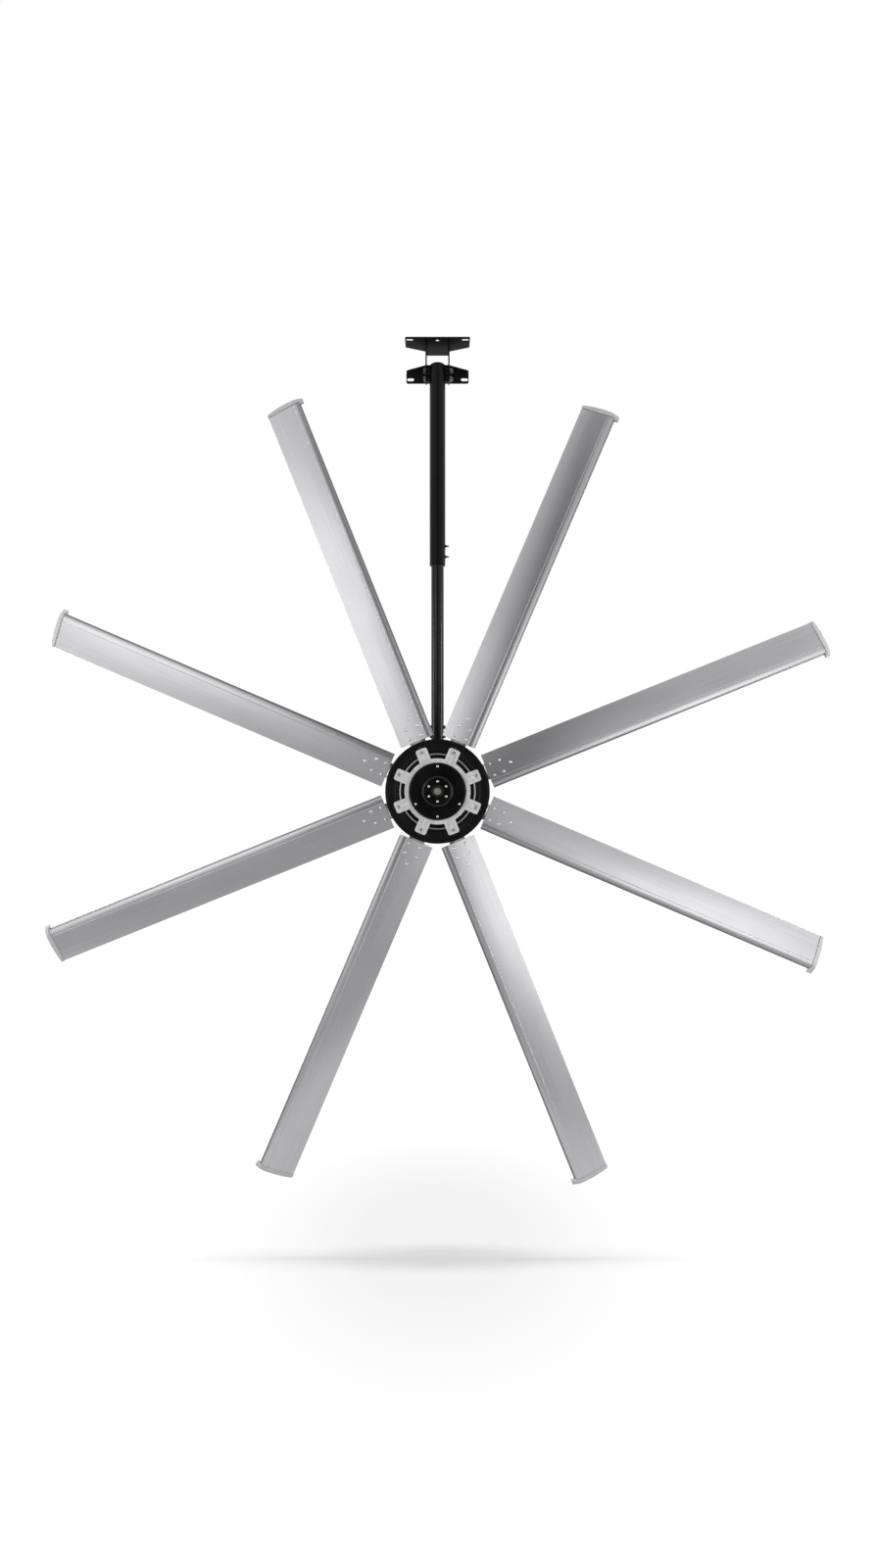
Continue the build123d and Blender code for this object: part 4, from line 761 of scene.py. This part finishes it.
softened("spider", "rotor", "spider_casting", 0.0012, 3)
for node in ("ceiling_plate", "wall_plate", "cheek_left", "cheek_right"):
    softened(node, "mount", "black_steel", 0.0006)
for node in ("hanger_bolts", "hanger_nuts"):
    softened(node, "mount", "dull_zinc", 0.0008)
for node in ("coupling_bolts", "coupling_nuts"):
    softened(node, "drop", "dull_zinc", 0.0006)
softened("yoke", "drop", "black_steel", 0.0008)
softened("tilt_bracket", "motor", "black_steel", 0.0008)

# %% [markdown]
# The finishes. Effects that several materials share are node groups with named sockets: a fine grain
# for powder coat and castings, lines for brushed metal, and a mask of worn edges. Each group gives
# only values, and the shader stays in the material.

# %% Node helpers


def socket_in(group, name, kind, value=None):
    """Adds an input socket to a node group."""
    made_socket = group.interface.new_socket(name=name, in_out="INPUT", socket_type=kind)
    if value is not None:
        made_socket.default_value = value
    return made_socket


def socket_out(group, name, kind):
    """Adds an output socket to a node group."""
    return group.interface.new_socket(name=name, in_out="OUTPUT", socket_type=kind)


def add_node(tree, kind, place=(0, 0), **settings):
    """Adds a node and sets its plain properties."""
    node = tree.nodes.new(kind)
    node.location = place
    for name, value in settings.items():
        setattr(node, name, value)
    return node


def ramp(tree, low, high, source, out_low=0.0, out_high=1.0, place=(0, 0)):
    """Map Range node, clamped."""
    node = add_node(tree, "ShaderNodeMapRange", place, clamp=True)
    node.inputs["From Min"].default_value = low
    node.inputs["From Max"].default_value = high
    node.inputs["To Min"].default_value = out_low
    node.inputs["To Max"].default_value = out_high
    tree.links.new(source, node.inputs["Value"])
    return node.outputs["Result"]


# %% Grain group


def build_grain_group():
    """Two sizes of noise in Object coordinates: fine grain for bump and slow patches for tone."""
    group = bpy.data.node_groups.new("fine_grain", "ShaderNodeTree")
    socket_in(group, "Grain Scale", "NodeSocketFloat", 900.0)
    socket_in(group, "Patch Scale", "NodeSocketFloat", 14.0)
    socket_out(group, "Grain", "NodeSocketFloat")
    socket_out(group, "Patches", "NodeSocketFloat")
    start = add_node(group, "NodeGroupInput", (-600, 0))
    end = add_node(group, "NodeGroupOutput", (400, 0))
    place = add_node(group, "ShaderNodeTexCoord", (-600, -200))
    grain = add_node(group, "ShaderNodeTexNoise", (-200, 100))
    grain.inputs["Detail"].default_value = 2.0
    patches = add_node(group, "ShaderNodeTexNoise", (-200, -200))
    patches.inputs["Detail"].default_value = 4.0
    group.links.new(place.outputs["Object"], grain.inputs["Vector"])
    group.links.new(place.outputs["Object"], patches.inputs["Vector"])
    group.links.new(start.outputs["Grain Scale"], grain.inputs["Scale"])
    group.links.new(start.outputs["Patch Scale"], patches.inputs["Scale"])
    group.links.new(grain.outputs["Fac"], end.inputs["Grain"])
    group.links.new(ramp(group, 0.3, 0.7, patches.outputs["Fac"], place=(100, -200)), end.inputs["Patches"])
    return group


grain_group = build_grain_group()

# %% Brushed lines group


def build_brushed_group():
    """Noise squeezed hard across the brushing and drawn long along it, from any 3D coordinate."""
    group = bpy.data.node_groups.new("brushed_lines", "ShaderNodeTree")
    socket_in(group, "Vector", "NodeSocketVector")
    socket_in(group, "Across Scale", "NodeSocketFloat", 1800.0)
    socket_in(group, "Along Scale", "NodeSocketFloat", 6.0)
    socket_out(group, "Lines", "NodeSocketFloat")
    socket_out(group, "Bands", "NodeSocketFloat")
    start = add_node(group, "NodeGroupInput", (-900, 0))
    end = add_node(group, "NodeGroupOutput", (500, 0))
    stretch = add_node(group, "ShaderNodeCombineXYZ", (-700, -150))
    group.links.new(start.outputs["Across Scale"], stretch.inputs["X"])
    group.links.new(start.outputs["Along Scale"], stretch.inputs["Y"])
    scaled = add_node(group, "ShaderNodeVectorMath", (-500, 0), operation="MULTIPLY")
    group.links.new(start.outputs["Vector"], scaled.inputs[0])
    group.links.new(stretch.outputs["Vector"], scaled.inputs[1])
    lines = add_node(group, "ShaderNodeTexNoise", (-250, 120))
    lines.inputs["Scale"].default_value = 1.0
    lines.inputs["Detail"].default_value = 3.0
    group.links.new(scaled.outputs["Vector"], lines.inputs["Vector"])
    wide = add_node(group, "ShaderNodeVectorMath", (-250, -150), operation="MULTIPLY")
    wide.inputs[1].default_value = (0.06, 0.5, 1.0)
    group.links.new(scaled.outputs["Vector"], wide.inputs[0])
    bands = add_node(group, "ShaderNodeTexNoise", (0, -150))
    bands.inputs["Scale"].default_value = 1.0
    bands.inputs["Detail"].default_value = 2.0
    group.links.new(wide.outputs["Vector"], bands.inputs["Vector"])
    group.links.new(lines.outputs["Fac"], end.inputs["Lines"])
    group.links.new(ramp(group, 0.3, 0.7, bands.outputs["Fac"], place=(250, -150)), end.inputs["Bands"])
    return group


brushed_group = build_brushed_group()

# %% Worn edge group


def build_edge_group():
    """Mask of edges: where a rounded normal differs from the true one, broken up by noise."""
    group = bpy.data.node_groups.new("worn_edges", "ShaderNodeTree")
    socket_in(group, "Radius", "NodeSocketFloat", 0.0012)
    socket_in(group, "Break Up", "NodeSocketFloat", 120.0)
    socket_out(group, "Mask", "NodeSocketFloat")
    start = add_node(group, "NodeGroupInput", (-800, 0))
    end = add_node(group, "NodeGroupOutput", (600, 0))
    soft = add_node(group, "ShaderNodeBevel", (-550, 100), samples=4)
    group.links.new(start.outputs["Radius"], soft.inputs["Radius"])
    true_normal = add_node(group, "ShaderNodeNewGeometry", (-550, -100))
    dot = add_node(group, "ShaderNodeVectorMath", (-300, 0), operation="DOT_PRODUCT")
    group.links.new(soft.outputs["Normal"], dot.inputs[0])
    group.links.new(true_normal.outputs["True Normal"], dot.inputs[1])
    place = add_node(group, "ShaderNodeTexCoord", (-550, -350))
    noise = add_node(group, "ShaderNodeTexNoise", (-300, -300))
    noise.inputs["Detail"].default_value = 3.0
    group.links.new(place.outputs["Object"], noise.inputs["Vector"])
    group.links.new(start.outputs["Break Up"], noise.inputs["Scale"])
    edge = ramp(group, 0.995, 0.86, dot.outputs["Value"], place=(-50, 50))
    spots = ramp(group, 0.42, 0.62, noise.outputs["Fac"], place=(-50, -250))
    both = add_node(group, "ShaderNodeMath", (250, 0), operation="MULTIPLY")
    group.links.new(edge, both.inputs[0])
    group.links.new(spots, both.inputs[1])
    group.links.new(both.outputs["Value"], end.inputs["Mask"])
    return group


edge_group = build_edge_group()
print("shared effects:", [g.name for g in bpy.data.node_groups])

# %% [markdown]
# Every finish starts from the same few steps: a Principled shader, a group for its grain, a slight
# change of tone and of roughness over the surface, and a fine bump.

# %% Material builder


def new_material(name):
    """Material with an empty Principled shader; returns it with its tree and shader."""
    material = bpy.data.materials.new(name)
    material.use_nodes = True
    tree = material.node_tree
    shader = next(node for node in tree.nodes if node.type == "BSDF_PRINCIPLED")
    return material, tree, shader


def add_group(tree, group, place=(-700, 0), **values):
    """Places a shared group; underscores in a value's name stand for spaces."""
    node = add_node(tree, "ShaderNodeGroup", place, node_tree=group)
    for name, value in values.items():
        node.inputs[name.replace("_", " ")].default_value = value
    return node


def mixed_colour(tree, factor, first, second, place=(-400, 200)):
    """Colour from the first, a colour or a socket, to the second by a factor socket."""
    node = add_node(tree, "ShaderNodeMix", place, data_type="RGBA")
    if isinstance(first, tuple):
        node.inputs["A"].default_value = (*first, 1.0)
    else:
        tree.links.new(first, node.inputs["A"])
    node.inputs["B"].default_value = (*second, 1.0)
    tree.links.new(factor, node.inputs["Factor"])
    return node.outputs["Result"]


def fine_bump(tree, shader, height, strength, distance):
    """Bump node from a height socket."""
    bump = add_node(tree, "ShaderNodeBump", (-250, -300))
    bump.inputs["Strength"].default_value = strength
    bump.inputs["Distance"].default_value = distance
    tree.links.new(height, bump.inputs["Height"])
    tree.links.new(bump.outputs["Normal"], shader.inputs["Normal"])
    return bump


def grained(name, dark, light, rough, metal, specular, grain, patch, bump, worn=None):
    """Painted, cast or moulded finish. Patches shift tone and roughness, grain gives the bump, and edges may
    be worn to another colour."""
    material, tree, shader = new_material(name)
    group = add_group(tree, grain_group, Grain_Scale=grain, Patch_Scale=patch)
    colour = mixed_colour(tree, group.outputs["Patches"], dark, light)
    roughness = ramp(tree, 0.0, 1.0, group.outputs["Patches"], rough[0], rough[1], (-400, -100))
    if worn is not None:
        edges = add_group(tree, edge_group, (-700, -300), Radius=worn["radius"])
        strength = ramp(tree, 0.0, 1.0, edges.outputs["Mask"], 0.0, worn["amount"], (-550, -300))
        colour = mixed_colour(tree, strength, colour, worn["colour"], (-200, 250))
    tree.links.new(colour, shader.inputs["Base Color"])
    tree.links.new(roughness, shader.inputs["Roughness"])
    shader.inputs["Metallic"].default_value = metal
    shader.inputs["Specular IOR Level"].default_value = specular
    fine_bump(tree, shader, group.outputs["Grain"], bump, 0.0004)
    return material


# %% [markdown]
# Blade aluminium is brushed along its length. The lines follow the blade's own UV map, because
# each blade points another way. They change roughness and tone a little, and the bump is very fine.
# A dark line of painted shade runs along each blade's rounded nose, in place of the dark reflection
# that the rounding would catch.

# %% Brushed and turned metals


def painted_nose_shade(tree, place, band, depth):
    """Factor of a soft, dark line of painted shade on the nose: it rises and falls between four places
    along the section's outline.
    """
    split = add_node(tree, "ShaderNodeSeparateXYZ", (-900, 300))
    tree.links.new(place, split.inputs["Vector"])
    rise = ramp(tree, band[0], band[1], split.outputs["X"], 0.0, depth, (-700, 350))
    fall = ramp(tree, band[2], band[3], split.outputs["X"], 1.0, 0.0, (-700, 550))
    both = add_node(tree, "ShaderNodeMath", (-500, 400), operation="MULTIPLY")
    tree.links.new(rise, both.inputs[0])
    tree.links.new(fall, both.inputs[1])
    return both.outputs["Value"]


def brushed(name, dark, light, rough, uses_uv=True, across=1800.0, along=6.0, bump=0.05, nose=None):
    """Bare metal with lines along one direction; a nose setting paints a dark line of shade along a
    blade's rounded nose.
    """
    material, tree, shader = new_material(name)
    place = add_node(tree, "ShaderNodeTexCoord", (-950, 0))
    group = add_group(tree, brushed_group, Across_Scale=across, Along_Scale=along)
    tree.links.new(place.outputs["UV" if uses_uv else "Object"], group.inputs["Vector"])
    patches = add_group(tree, grain_group, (-700, -250), Grain_Scale=400.0, Patch_Scale=5.0)
    tone = add_node(tree, "ShaderNodeMath", (-500, 150), operation="MULTIPLY_ADD")
    tone.inputs[1].default_value = 0.5
    tree.links.new(group.outputs["Bands"], tone.inputs[0])
    half = ramp(tree, 0.0, 1.0, patches.outputs["Patches"], 0.0, 0.5, (-600, -50))
    tree.links.new(half, tone.inputs[2])
    colour = mixed_colour(tree, tone.outputs["Value"], dark, light)
    # Painted shade: a dark line mixed into the colour along the blade's rounded nose.
    if nose is not None:
        line = painted_nose_shade(tree, place.outputs["UV"], nose["band"], nose["depth"])
        colour = mixed_colour(tree, line, colour, nose["colour"], (-200, 250))
    tree.links.new(colour, shader.inputs["Base Color"])
    roughness = ramp(tree, 0.25, 0.75, group.outputs["Lines"], rough[0], rough[1], (-400, -100))
    tree.links.new(roughness, shader.inputs["Roughness"])
    shader.inputs["Metallic"].default_value = 1.0
    fine_bump(tree, shader, group.outputs["Lines"], bump, 0.0002)
    return material


# Painted shade on the blades: where along the outline the dark nose line lies, how strong it is, and its colour.
NOSE_PAINTED_SHADE = {"band": (0.005, 0.009, 0.0105, 0.017), "depth": 0.85, "colour": (0.1, 0.1, 0.105)}
finishes = {
    "blade_aluminium": brushed(
        "blade_aluminium", (0.42, 0.415, 0.43), (0.48, 0.475, 0.49), (0.27, 0.34), nose=NOSE_PAINTED_SHADE
    ),
    "bare_metal": brushed(
        "bare_metal", (0.33, 0.33, 0.31), (0.42, 0.42, 0.39), (0.25, 0.38), False, 300.0, 300.0
    ),
    "bearing_steel": brushed(
        "bearing_steel", (0.45, 0.45, 0.46), (0.58, 0.58, 0.59), (0.12, 0.2), False, 500.0, 500.0
    ),
    "core_steel": brushed(
        "core_steel", (0.16, 0.16, 0.17), (0.25, 0.25, 0.26), (0.35, 0.5), False, 60.0, 2500.0
    ),
}
print("brushed finishes:", list(finishes))

# %% [markdown]
# The blacks. Powder coat on the hanger and rod is satin with a fine orange peel, the dish is a
# textured casting, and the cap is smoother and a little glossier. Black paint in a white studio
# would look grey if it reflected as much as plain plastic does, so the specular level is low.

# %% Painted, cast and moulded finishes
finishes["black_steel"] = grained(
    "black_steel", (0.003, 0.003, 0.0032), (0.005, 0.005, 0.0052), (0.26, 0.34), 0.0, 0.12, 1500.0, 9.0, 0.1,
    {"radius": 0.001, "amount": 0.12, "colour": (0.12, 0.12, 0.12)},
)
finishes["black_casting"] = grained(
    "black_casting", (0.002, 0.002, 0.0021), (0.004, 0.004, 0.0041), (0.3, 0.42), 0.0, 0.2, 1100.0, 20.0,
    0.12, {"radius": 0.0012, "amount": 0.1, "colour": (0.1, 0.1, 0.1)},
)
finishes["tube_coat"] = grained(
    "tube_coat", (0.003, 0.003, 0.0032), (0.005, 0.005, 0.0052), (0.1, 0.14), 0.0, 0.28, 1500.0, 9.0, 0.03
)
finishes["gloss_black"] = grained(
    "gloss_black", (0.0022, 0.0022, 0.0023), (0.0034, 0.0034, 0.0035), (0.2, 0.28), 0.0, 0.25, 1600.0, 12.0,
    0.04,
)
finishes["spider_casting"] = grained(
    "spider_casting", (0.72, 0.71, 0.705), (0.84, 0.83, 0.825), (0.36, 0.5), 0.2, 0.5, 1400.0, 60.0, 0.25,
    {"radius": 0.0012, "amount": 0.35, "colour": (0.75, 0.74, 0.73)},
)
finishes["end_cap_plastic"] = grained(
    "end_cap_plastic", (0.60, 0.60, 0.61), (0.68, 0.68, 0.69), (0.42, 0.52), 0.0, 0.4, 1500.0, 30.0, 0.12
)
finishes["strut_steel"] = grained(
    "strut_steel", (0.34, 0.34, 0.35), (0.42, 0.42, 0.43), (0.36, 0.48), 0.9, 0.5, 1200.0, 30.0, 0.12
)
finishes["zinc_fastener"] = grained(
    "zinc_fastener", (0.5, 0.5, 0.49), (0.62, 0.62, 0.6), (0.22, 0.34), 1.0, 0.5, 2500.0, 150.0, 0.08
)
finishes["dull_zinc"] = grained(
    "dull_zinc", (0.13, 0.13, 0.132), (0.2, 0.2, 0.202), (0.3, 0.42), 1.0, 0.5, 2500.0, 120.0, 0.1
)
finishes["black_fastener"] = grained(
    "black_fastener", (0.02, 0.02, 0.021), (0.035, 0.035, 0.036), (0.28, 0.4), 0.6, 0.4, 2500.0, 150.0, 0.08
)
finishes["bronze_washer"] = grained(
    "bronze_washer", (0.03, 0.027, 0.02), (0.045, 0.04, 0.03), (0.3, 0.42), 0.9, 0.4, 1500.0, 80.0, 0.1
)
finishes["copper_wire"] = grained(
    "copper_wire", (0.42, 0.14, 0.05), (0.55, 0.2, 0.08), (0.22, 0.35), 0.9, 0.5, 2200.0, 90.0, 0.3
)
finishes["magnet"] = grained(
    "magnet", (0.2, 0.2, 0.2), (0.27, 0.27, 0.265), (0.3, 0.45), 0.9, 0.5, 1800.0, 60.0, 0.15
)
finishes["gland_plastic"] = grained(
    "gland_plastic", (0.01, 0.01, 0.01), (0.016, 0.016, 0.016), (0.42, 0.55), 0.0, 0.3, 1800.0, 60.0, 0.15
)
print("finishes:", sorted(finishes))

# %% [markdown]
# Each piece takes the finish of its slot. The CAD nodes that still show keep their mesh, and their
# material is swapped through the slot that the record gives them.

# %% Give every piece its finish
node_slots = {part["node"]: part["material_slot"] for part in frame["record"]["subparts"]}
for node, part in frame["nodes"].items():
    part.data.materials.clear()
    part.data.materials.append(finishes[node_slots[node]])
for piece in made.values():
    piece.data.materials.clear()
    piece.data.materials.append(finishes[piece["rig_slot"]])
print("dressed:", len(made), "new pieces and", len(frame["nodes"]), "frame nodes")

# %% [markdown]
# The stage. The photograph has a white room with one faint, wide shadow on the floor below the hub.
# The floor is a plain pale sheet. Near the fan it is lit and keeps the shadow, and further out it
# glows white for camera, mirror and glass rays, so that it melts into the white background.

# %% Floor
FLOOR_LEVEL = -3.43
FLOOR_SIZE = 24.0
FLOOR_TONE = 0.8
GLOW_NEAR = 0.2
GLOW_START = 0.3
GLOW_END = 1.1


def sheet(name, middle, width_way, height_way):
    """Flat stage sheet from its middle and the vectors from there to its right and upper edges."""
    middle, across, up = (np.asarray(v, float) for v in (middle, width_way, height_way))
    corners = [middle - across - up, middle + across - up, middle + across + up, middle - across + up]
    mesh = bpy.data.meshes.new(name)
    mesh.from_pydata([tuple(c) for c in corners], [], [(0, 1, 2, 3)])
    stage_sheet = bpy.data.objects.new(name, mesh)
    bpy.context.scene.collection.objects.link(stage_sheet)
    return stage_sheet


floor = sheet("studio_floor", (0, 0, FLOOR_LEVEL), (FLOOR_SIZE / 2, 0, 0), (0, FLOOR_SIZE / 2, 0))


def seen_rays(tree):
    """1 for camera, glossy and transmission rays, else 0."""
    path = add_node(tree, "ShaderNodeLightPath", (-900, 300))
    first = add_node(tree, "ShaderNodeMath", (-700, 300), operation="MAXIMUM")
    second = add_node(tree, "ShaderNodeMath", (-500, 300), operation="MAXIMUM")
    tree.links.new(path.outputs["Is Camera Ray"], first.inputs[0])
    tree.links.new(path.outputs["Is Glossy Ray"], first.inputs[1])
    tree.links.new(first.outputs["Value"], second.inputs[0])
    tree.links.new(path.outputs["Is Transmission Ray"], second.inputs[1])
    return second.outputs["Value"]


def floor_material():
    """Pale diffuse sheet plus a glow that grows with the distance from the spot below the hub."""
    material, tree, shader = new_material("studio_floor")
    tree.nodes.remove(shader)
    output = next(node for node in tree.nodes if node.type == "OUTPUT_MATERIAL")
    place = add_node(tree, "ShaderNodeTexCoord", (-1100, 0))
    flat = add_node(tree, "ShaderNodeVectorMath", (-900, 0), operation="MULTIPLY")
    flat.inputs[1].default_value = (1.0, 1.0, 0.0)
    tree.links.new(place.outputs["Object"], flat.inputs[0])
    far = add_node(tree, "ShaderNodeVectorMath", (-700, 0), operation="LENGTH")
    tree.links.new(flat.outputs["Vector"], far.inputs[0])
    glow = ramp(tree, GLOW_START, GLOW_END, far.outputs["Value"], GLOW_NEAR, 1.0, (-500, 0))
    shade = ramp(tree, GLOW_START, GLOW_END, far.outputs["Value"], FLOOR_TONE, 0.1, (-500, -250))
    strength = add_node(tree, "ShaderNodeMath", (-250, 150), operation="MULTIPLY")
    tree.links.new(glow, strength.inputs[0])
    tree.links.new(seen_rays(tree), strength.inputs[1])
    emission = add_node(tree, "ShaderNodeEmission", (-50, 150))
    tree.links.new(strength.outputs["Value"], emission.inputs["Strength"])
    colour = add_node(tree, "ShaderNodeCombineColor", (-250, -250))
    for channel in ("Red", "Green", "Blue"):
        tree.links.new(shade, colour.inputs[channel])
    diffuse = add_node(tree, "ShaderNodeBsdfDiffuse", (-50, -150))
    tree.links.new(colour.outputs["Color"], diffuse.inputs["Color"])
    both = add_node(tree, "ShaderNodeAddShader", (150, 0))
    tree.links.new(emission.outputs["Emission"], both.inputs[0])
    tree.links.new(diffuse.outputs["BSDF"], both.inputs[1])
    tree.links.new(both.outputs["Shader"], output.inputs["Surface"])
    return material


floor.data.materials.append(floor_material())

# %% [markdown]
# The room is white where it is seen, directly or in a mirror. It lights matt surfaces at a plain
# level, at which a colour renders about as it is written.

# %% World
WORLD_LIGHT = 0.62

world = bpy.data.worlds.new("white_room")
bpy.context.scene.world = world
world.use_nodes = True
background = next(node for node in world.node_tree.nodes if node.type == "BACKGROUND")
background.inputs["Color"].default_value = (1.0, 1.0, 1.0, 1.0)
seen = seen_rays(world.node_tree)
world.node_tree.links.new(
    ramp(world.node_tree, 0.0, 1.0, seen, WORLD_LIGHT, 1.0, (-250, 300)), background.inputs["Strength"]
)

# %% [markdown]
# Brushed blades and gloss paint look like what they mirror, so the studio is built for them. A blade
# is tilted by its pitch, so it mirrors a place well off the axis, and each blade another one. The
# eight places form a ring in front of the fan: bright boxes stand to the left and the right, where
# the blades shine, and grey cards hang high and lie just over the floor, where they are dim. A dark
# card on the axis and one above it keep the flat black hub and the rod deep. Two tall strips at the
# sides draw the thin highlights on the rod. The cards show only in mirrors, so they take no light
# from matt surfaces.

# %% Soft boxes
SOFT_BOXES = {
    "left": ((-2.6, -3.4, 0.9), (2.0, 2.4), 1.0),
    "right": ((2.6, -3.4, -0.2), (2.0, 1.8), 1.2),
    "strip_left": ((-3.0, -0.64, 0.3), (0.25, 3.0), 16.0),
    "strip_right": ((3.0, -0.64, 0.3), (0.25, 3.0), 16.0),
}


def soft_box(name, offset, size, radiance):
    """Area lamp that faces the hub; its power is radiance times pi times its area."""
    lamp = bpy.data.lights.new(name, "AREA")
    lamp.shape = "RECTANGLE"
    lamp.size, lamp.size_y = size
    lamp.energy = radiance * np.pi * size[0] * size[1]
    box = bpy.data.objects.new(name, lamp)
    box.location = hub + np.array(offset)
    box.rotation_mode = "QUATERNION"
    box.rotation_quaternion = Vector([-v for v in offset]).to_track_quat("-Z", "Y")
    bpy.context.scene.collection.objects.link(box)
    return box


def lights_all_but(lamp_object, name, piece):
    """Light linking that leaves one object out."""
    group = bpy.data.collections.new(name)
    group.objects.link(piece)
    group.collection_objects[0].light_linking.link_state = "EXCLUDE"
    lamp_object.light_linking.receiver_collection = group


for name, (offset, size, radiance) in SOFT_BOXES.items():
    lights_all_but(soft_box(name, offset, size, radiance), f"not_for_{name}", floor)
print("soft boxes:", list(SOFT_BOXES))

# %% Cards
CARDS = {
    "card_middle": ((0.0, 0.0), 3.8, (2.0, 2.0), 0.05),
    "card_mast": ((0.0, 2.85), 3.8, (1.2, 3.7), 0.05),
    "card_high": ((1.0, 2.75), 3.9, (4.4, 2.1), 0.72),
}
LOW_CARD = ((0.0, -3.6), (3.2, 2.4), 0.62)
LOW_CARD_RISE = 0.02


def mirror_only(piece, tone):
    """Makes a sheet glow with one tone that only mirrors see."""
    piece.visible_camera = False
    piece.visible_diffuse = False
    piece.visible_shadow = False
    material, tree, shader = new_material(piece.name)
    tree.nodes.remove(shader)
    output = next(node for node in tree.nodes if node.type == "OUTPUT_MATERIAL")
    emission = add_node(tree, "ShaderNodeEmission", (-200, 0))
    emission.inputs["Strength"].default_value = tone
    tree.links.new(emission.outputs["Emission"], output.inputs["Surface"])
    piece.data.materials.append(material)


for name, (middle, distance, size, tone) in CARDS.items():
    place = (hub[0] + middle[0], hub[1] - distance, hub[2] + middle[1])
    mirror_only(sheet(name, place, (size[0] / 2, 0, 0), (0, 0, size[1] / 2)), tone)
place = (hub[0] + LOW_CARD[0][0], hub[1] + LOW_CARD[0][1], FLOOR_LEVEL + LOW_CARD_RISE)
low_card = sheet("card_low", place, (LOW_CARD[1][0], 0, 0), (0, LOW_CARD[1][1], 0))
mirror_only(low_card, LOW_CARD[2])
print("cards:", [*CARDS, low_card.name])

# %% [markdown]
# One wide box hangs over the fan and lights only the floor. The blades and the hub stand in its way,
# and that is the soft shadow. Light linking keeps the light off the fan, which would be too bright
# on top, and keeps the rod and the hanger from adding shadows of their own.

# %% Overhead box
OVERHEAD_RISE = 2.6
OVERHEAD_SIZE = (1.25, 0.12)
OVERHEAD_FLOOR = 0.86
SHADING_PIECES = ["dish_casting", "cap_shell", "cover_dome", "spider_finished"]
SHADING_PIECES += [f"blade_skin_{number}" for number in range(1, BLADE_COUNT + 1)]

overhead = bpy.data.lights.new("overhead", "AREA")
overhead.shape = "RECTANGLE"
overhead.size, overhead.size_y = OVERHEAD_SIZE
drop = OVERHEAD_RISE - FLOOR_LEVEL
overhead.energy = OVERHEAD_FLOOR * np.pi * drop**2
overhead_box = bpy.data.objects.new("overhead", overhead)
overhead_box.location = (0.0, hub[1], OVERHEAD_RISE)
bpy.context.scene.collection.objects.link(overhead_box)
lit = bpy.data.collections.new("lit_by_overhead")
lit.objects.link(floor)
overhead_box.light_linking.receiver_collection = lit
shading = bpy.data.collections.new("shades_the_floor")
for name in SHADING_PIECES:
    shading.objects.link(made[name])
shading.objects.link(frame["nodes"]["rotor_can"])
overhead_box.light_linking.blocker_collection = shading
print("overhead power:", round(overhead.energy, 1), "W")

# %% [markdown]
# The camera stands at hub height, 2.52 m in front of the blades, and looks level. The focal length
# follows from the fan's width in the picture: 700 pixels, on a picture 1600 pixels high.

# %% Camera
CAMERA_DISTANCE = 2.52
FOCAL_PIXELS = 700.0
PICTURE_HEIGHT = 1600
HUB_BELOW_MIDDLE = 7.6
SENSOR = 36.0

camera_data = bpy.data.cameras.new("portrait")
camera_data.sensor_width = SENSOR
camera_data.lens = FOCAL_PIXELS / PICTURE_HEIGHT * SENSOR
camera_data.shift_y = HUB_BELOW_MIDDLE / PICTURE_HEIGHT
camera = bpy.data.objects.new("portrait", camera_data)
camera.location = (0.0, hub[1] - CAMERA_DISTANCE, hub[2])
camera.rotation_euler = (np.pi / 2, 0.0, 0.0)
bpy.context.scene.collection.objects.link(camera)
bpy.context.scene.camera = camera
bpy.context.scene.view_settings.view_transform = "Standard"
print("lens:", round(camera_data.lens, 2), "mm")
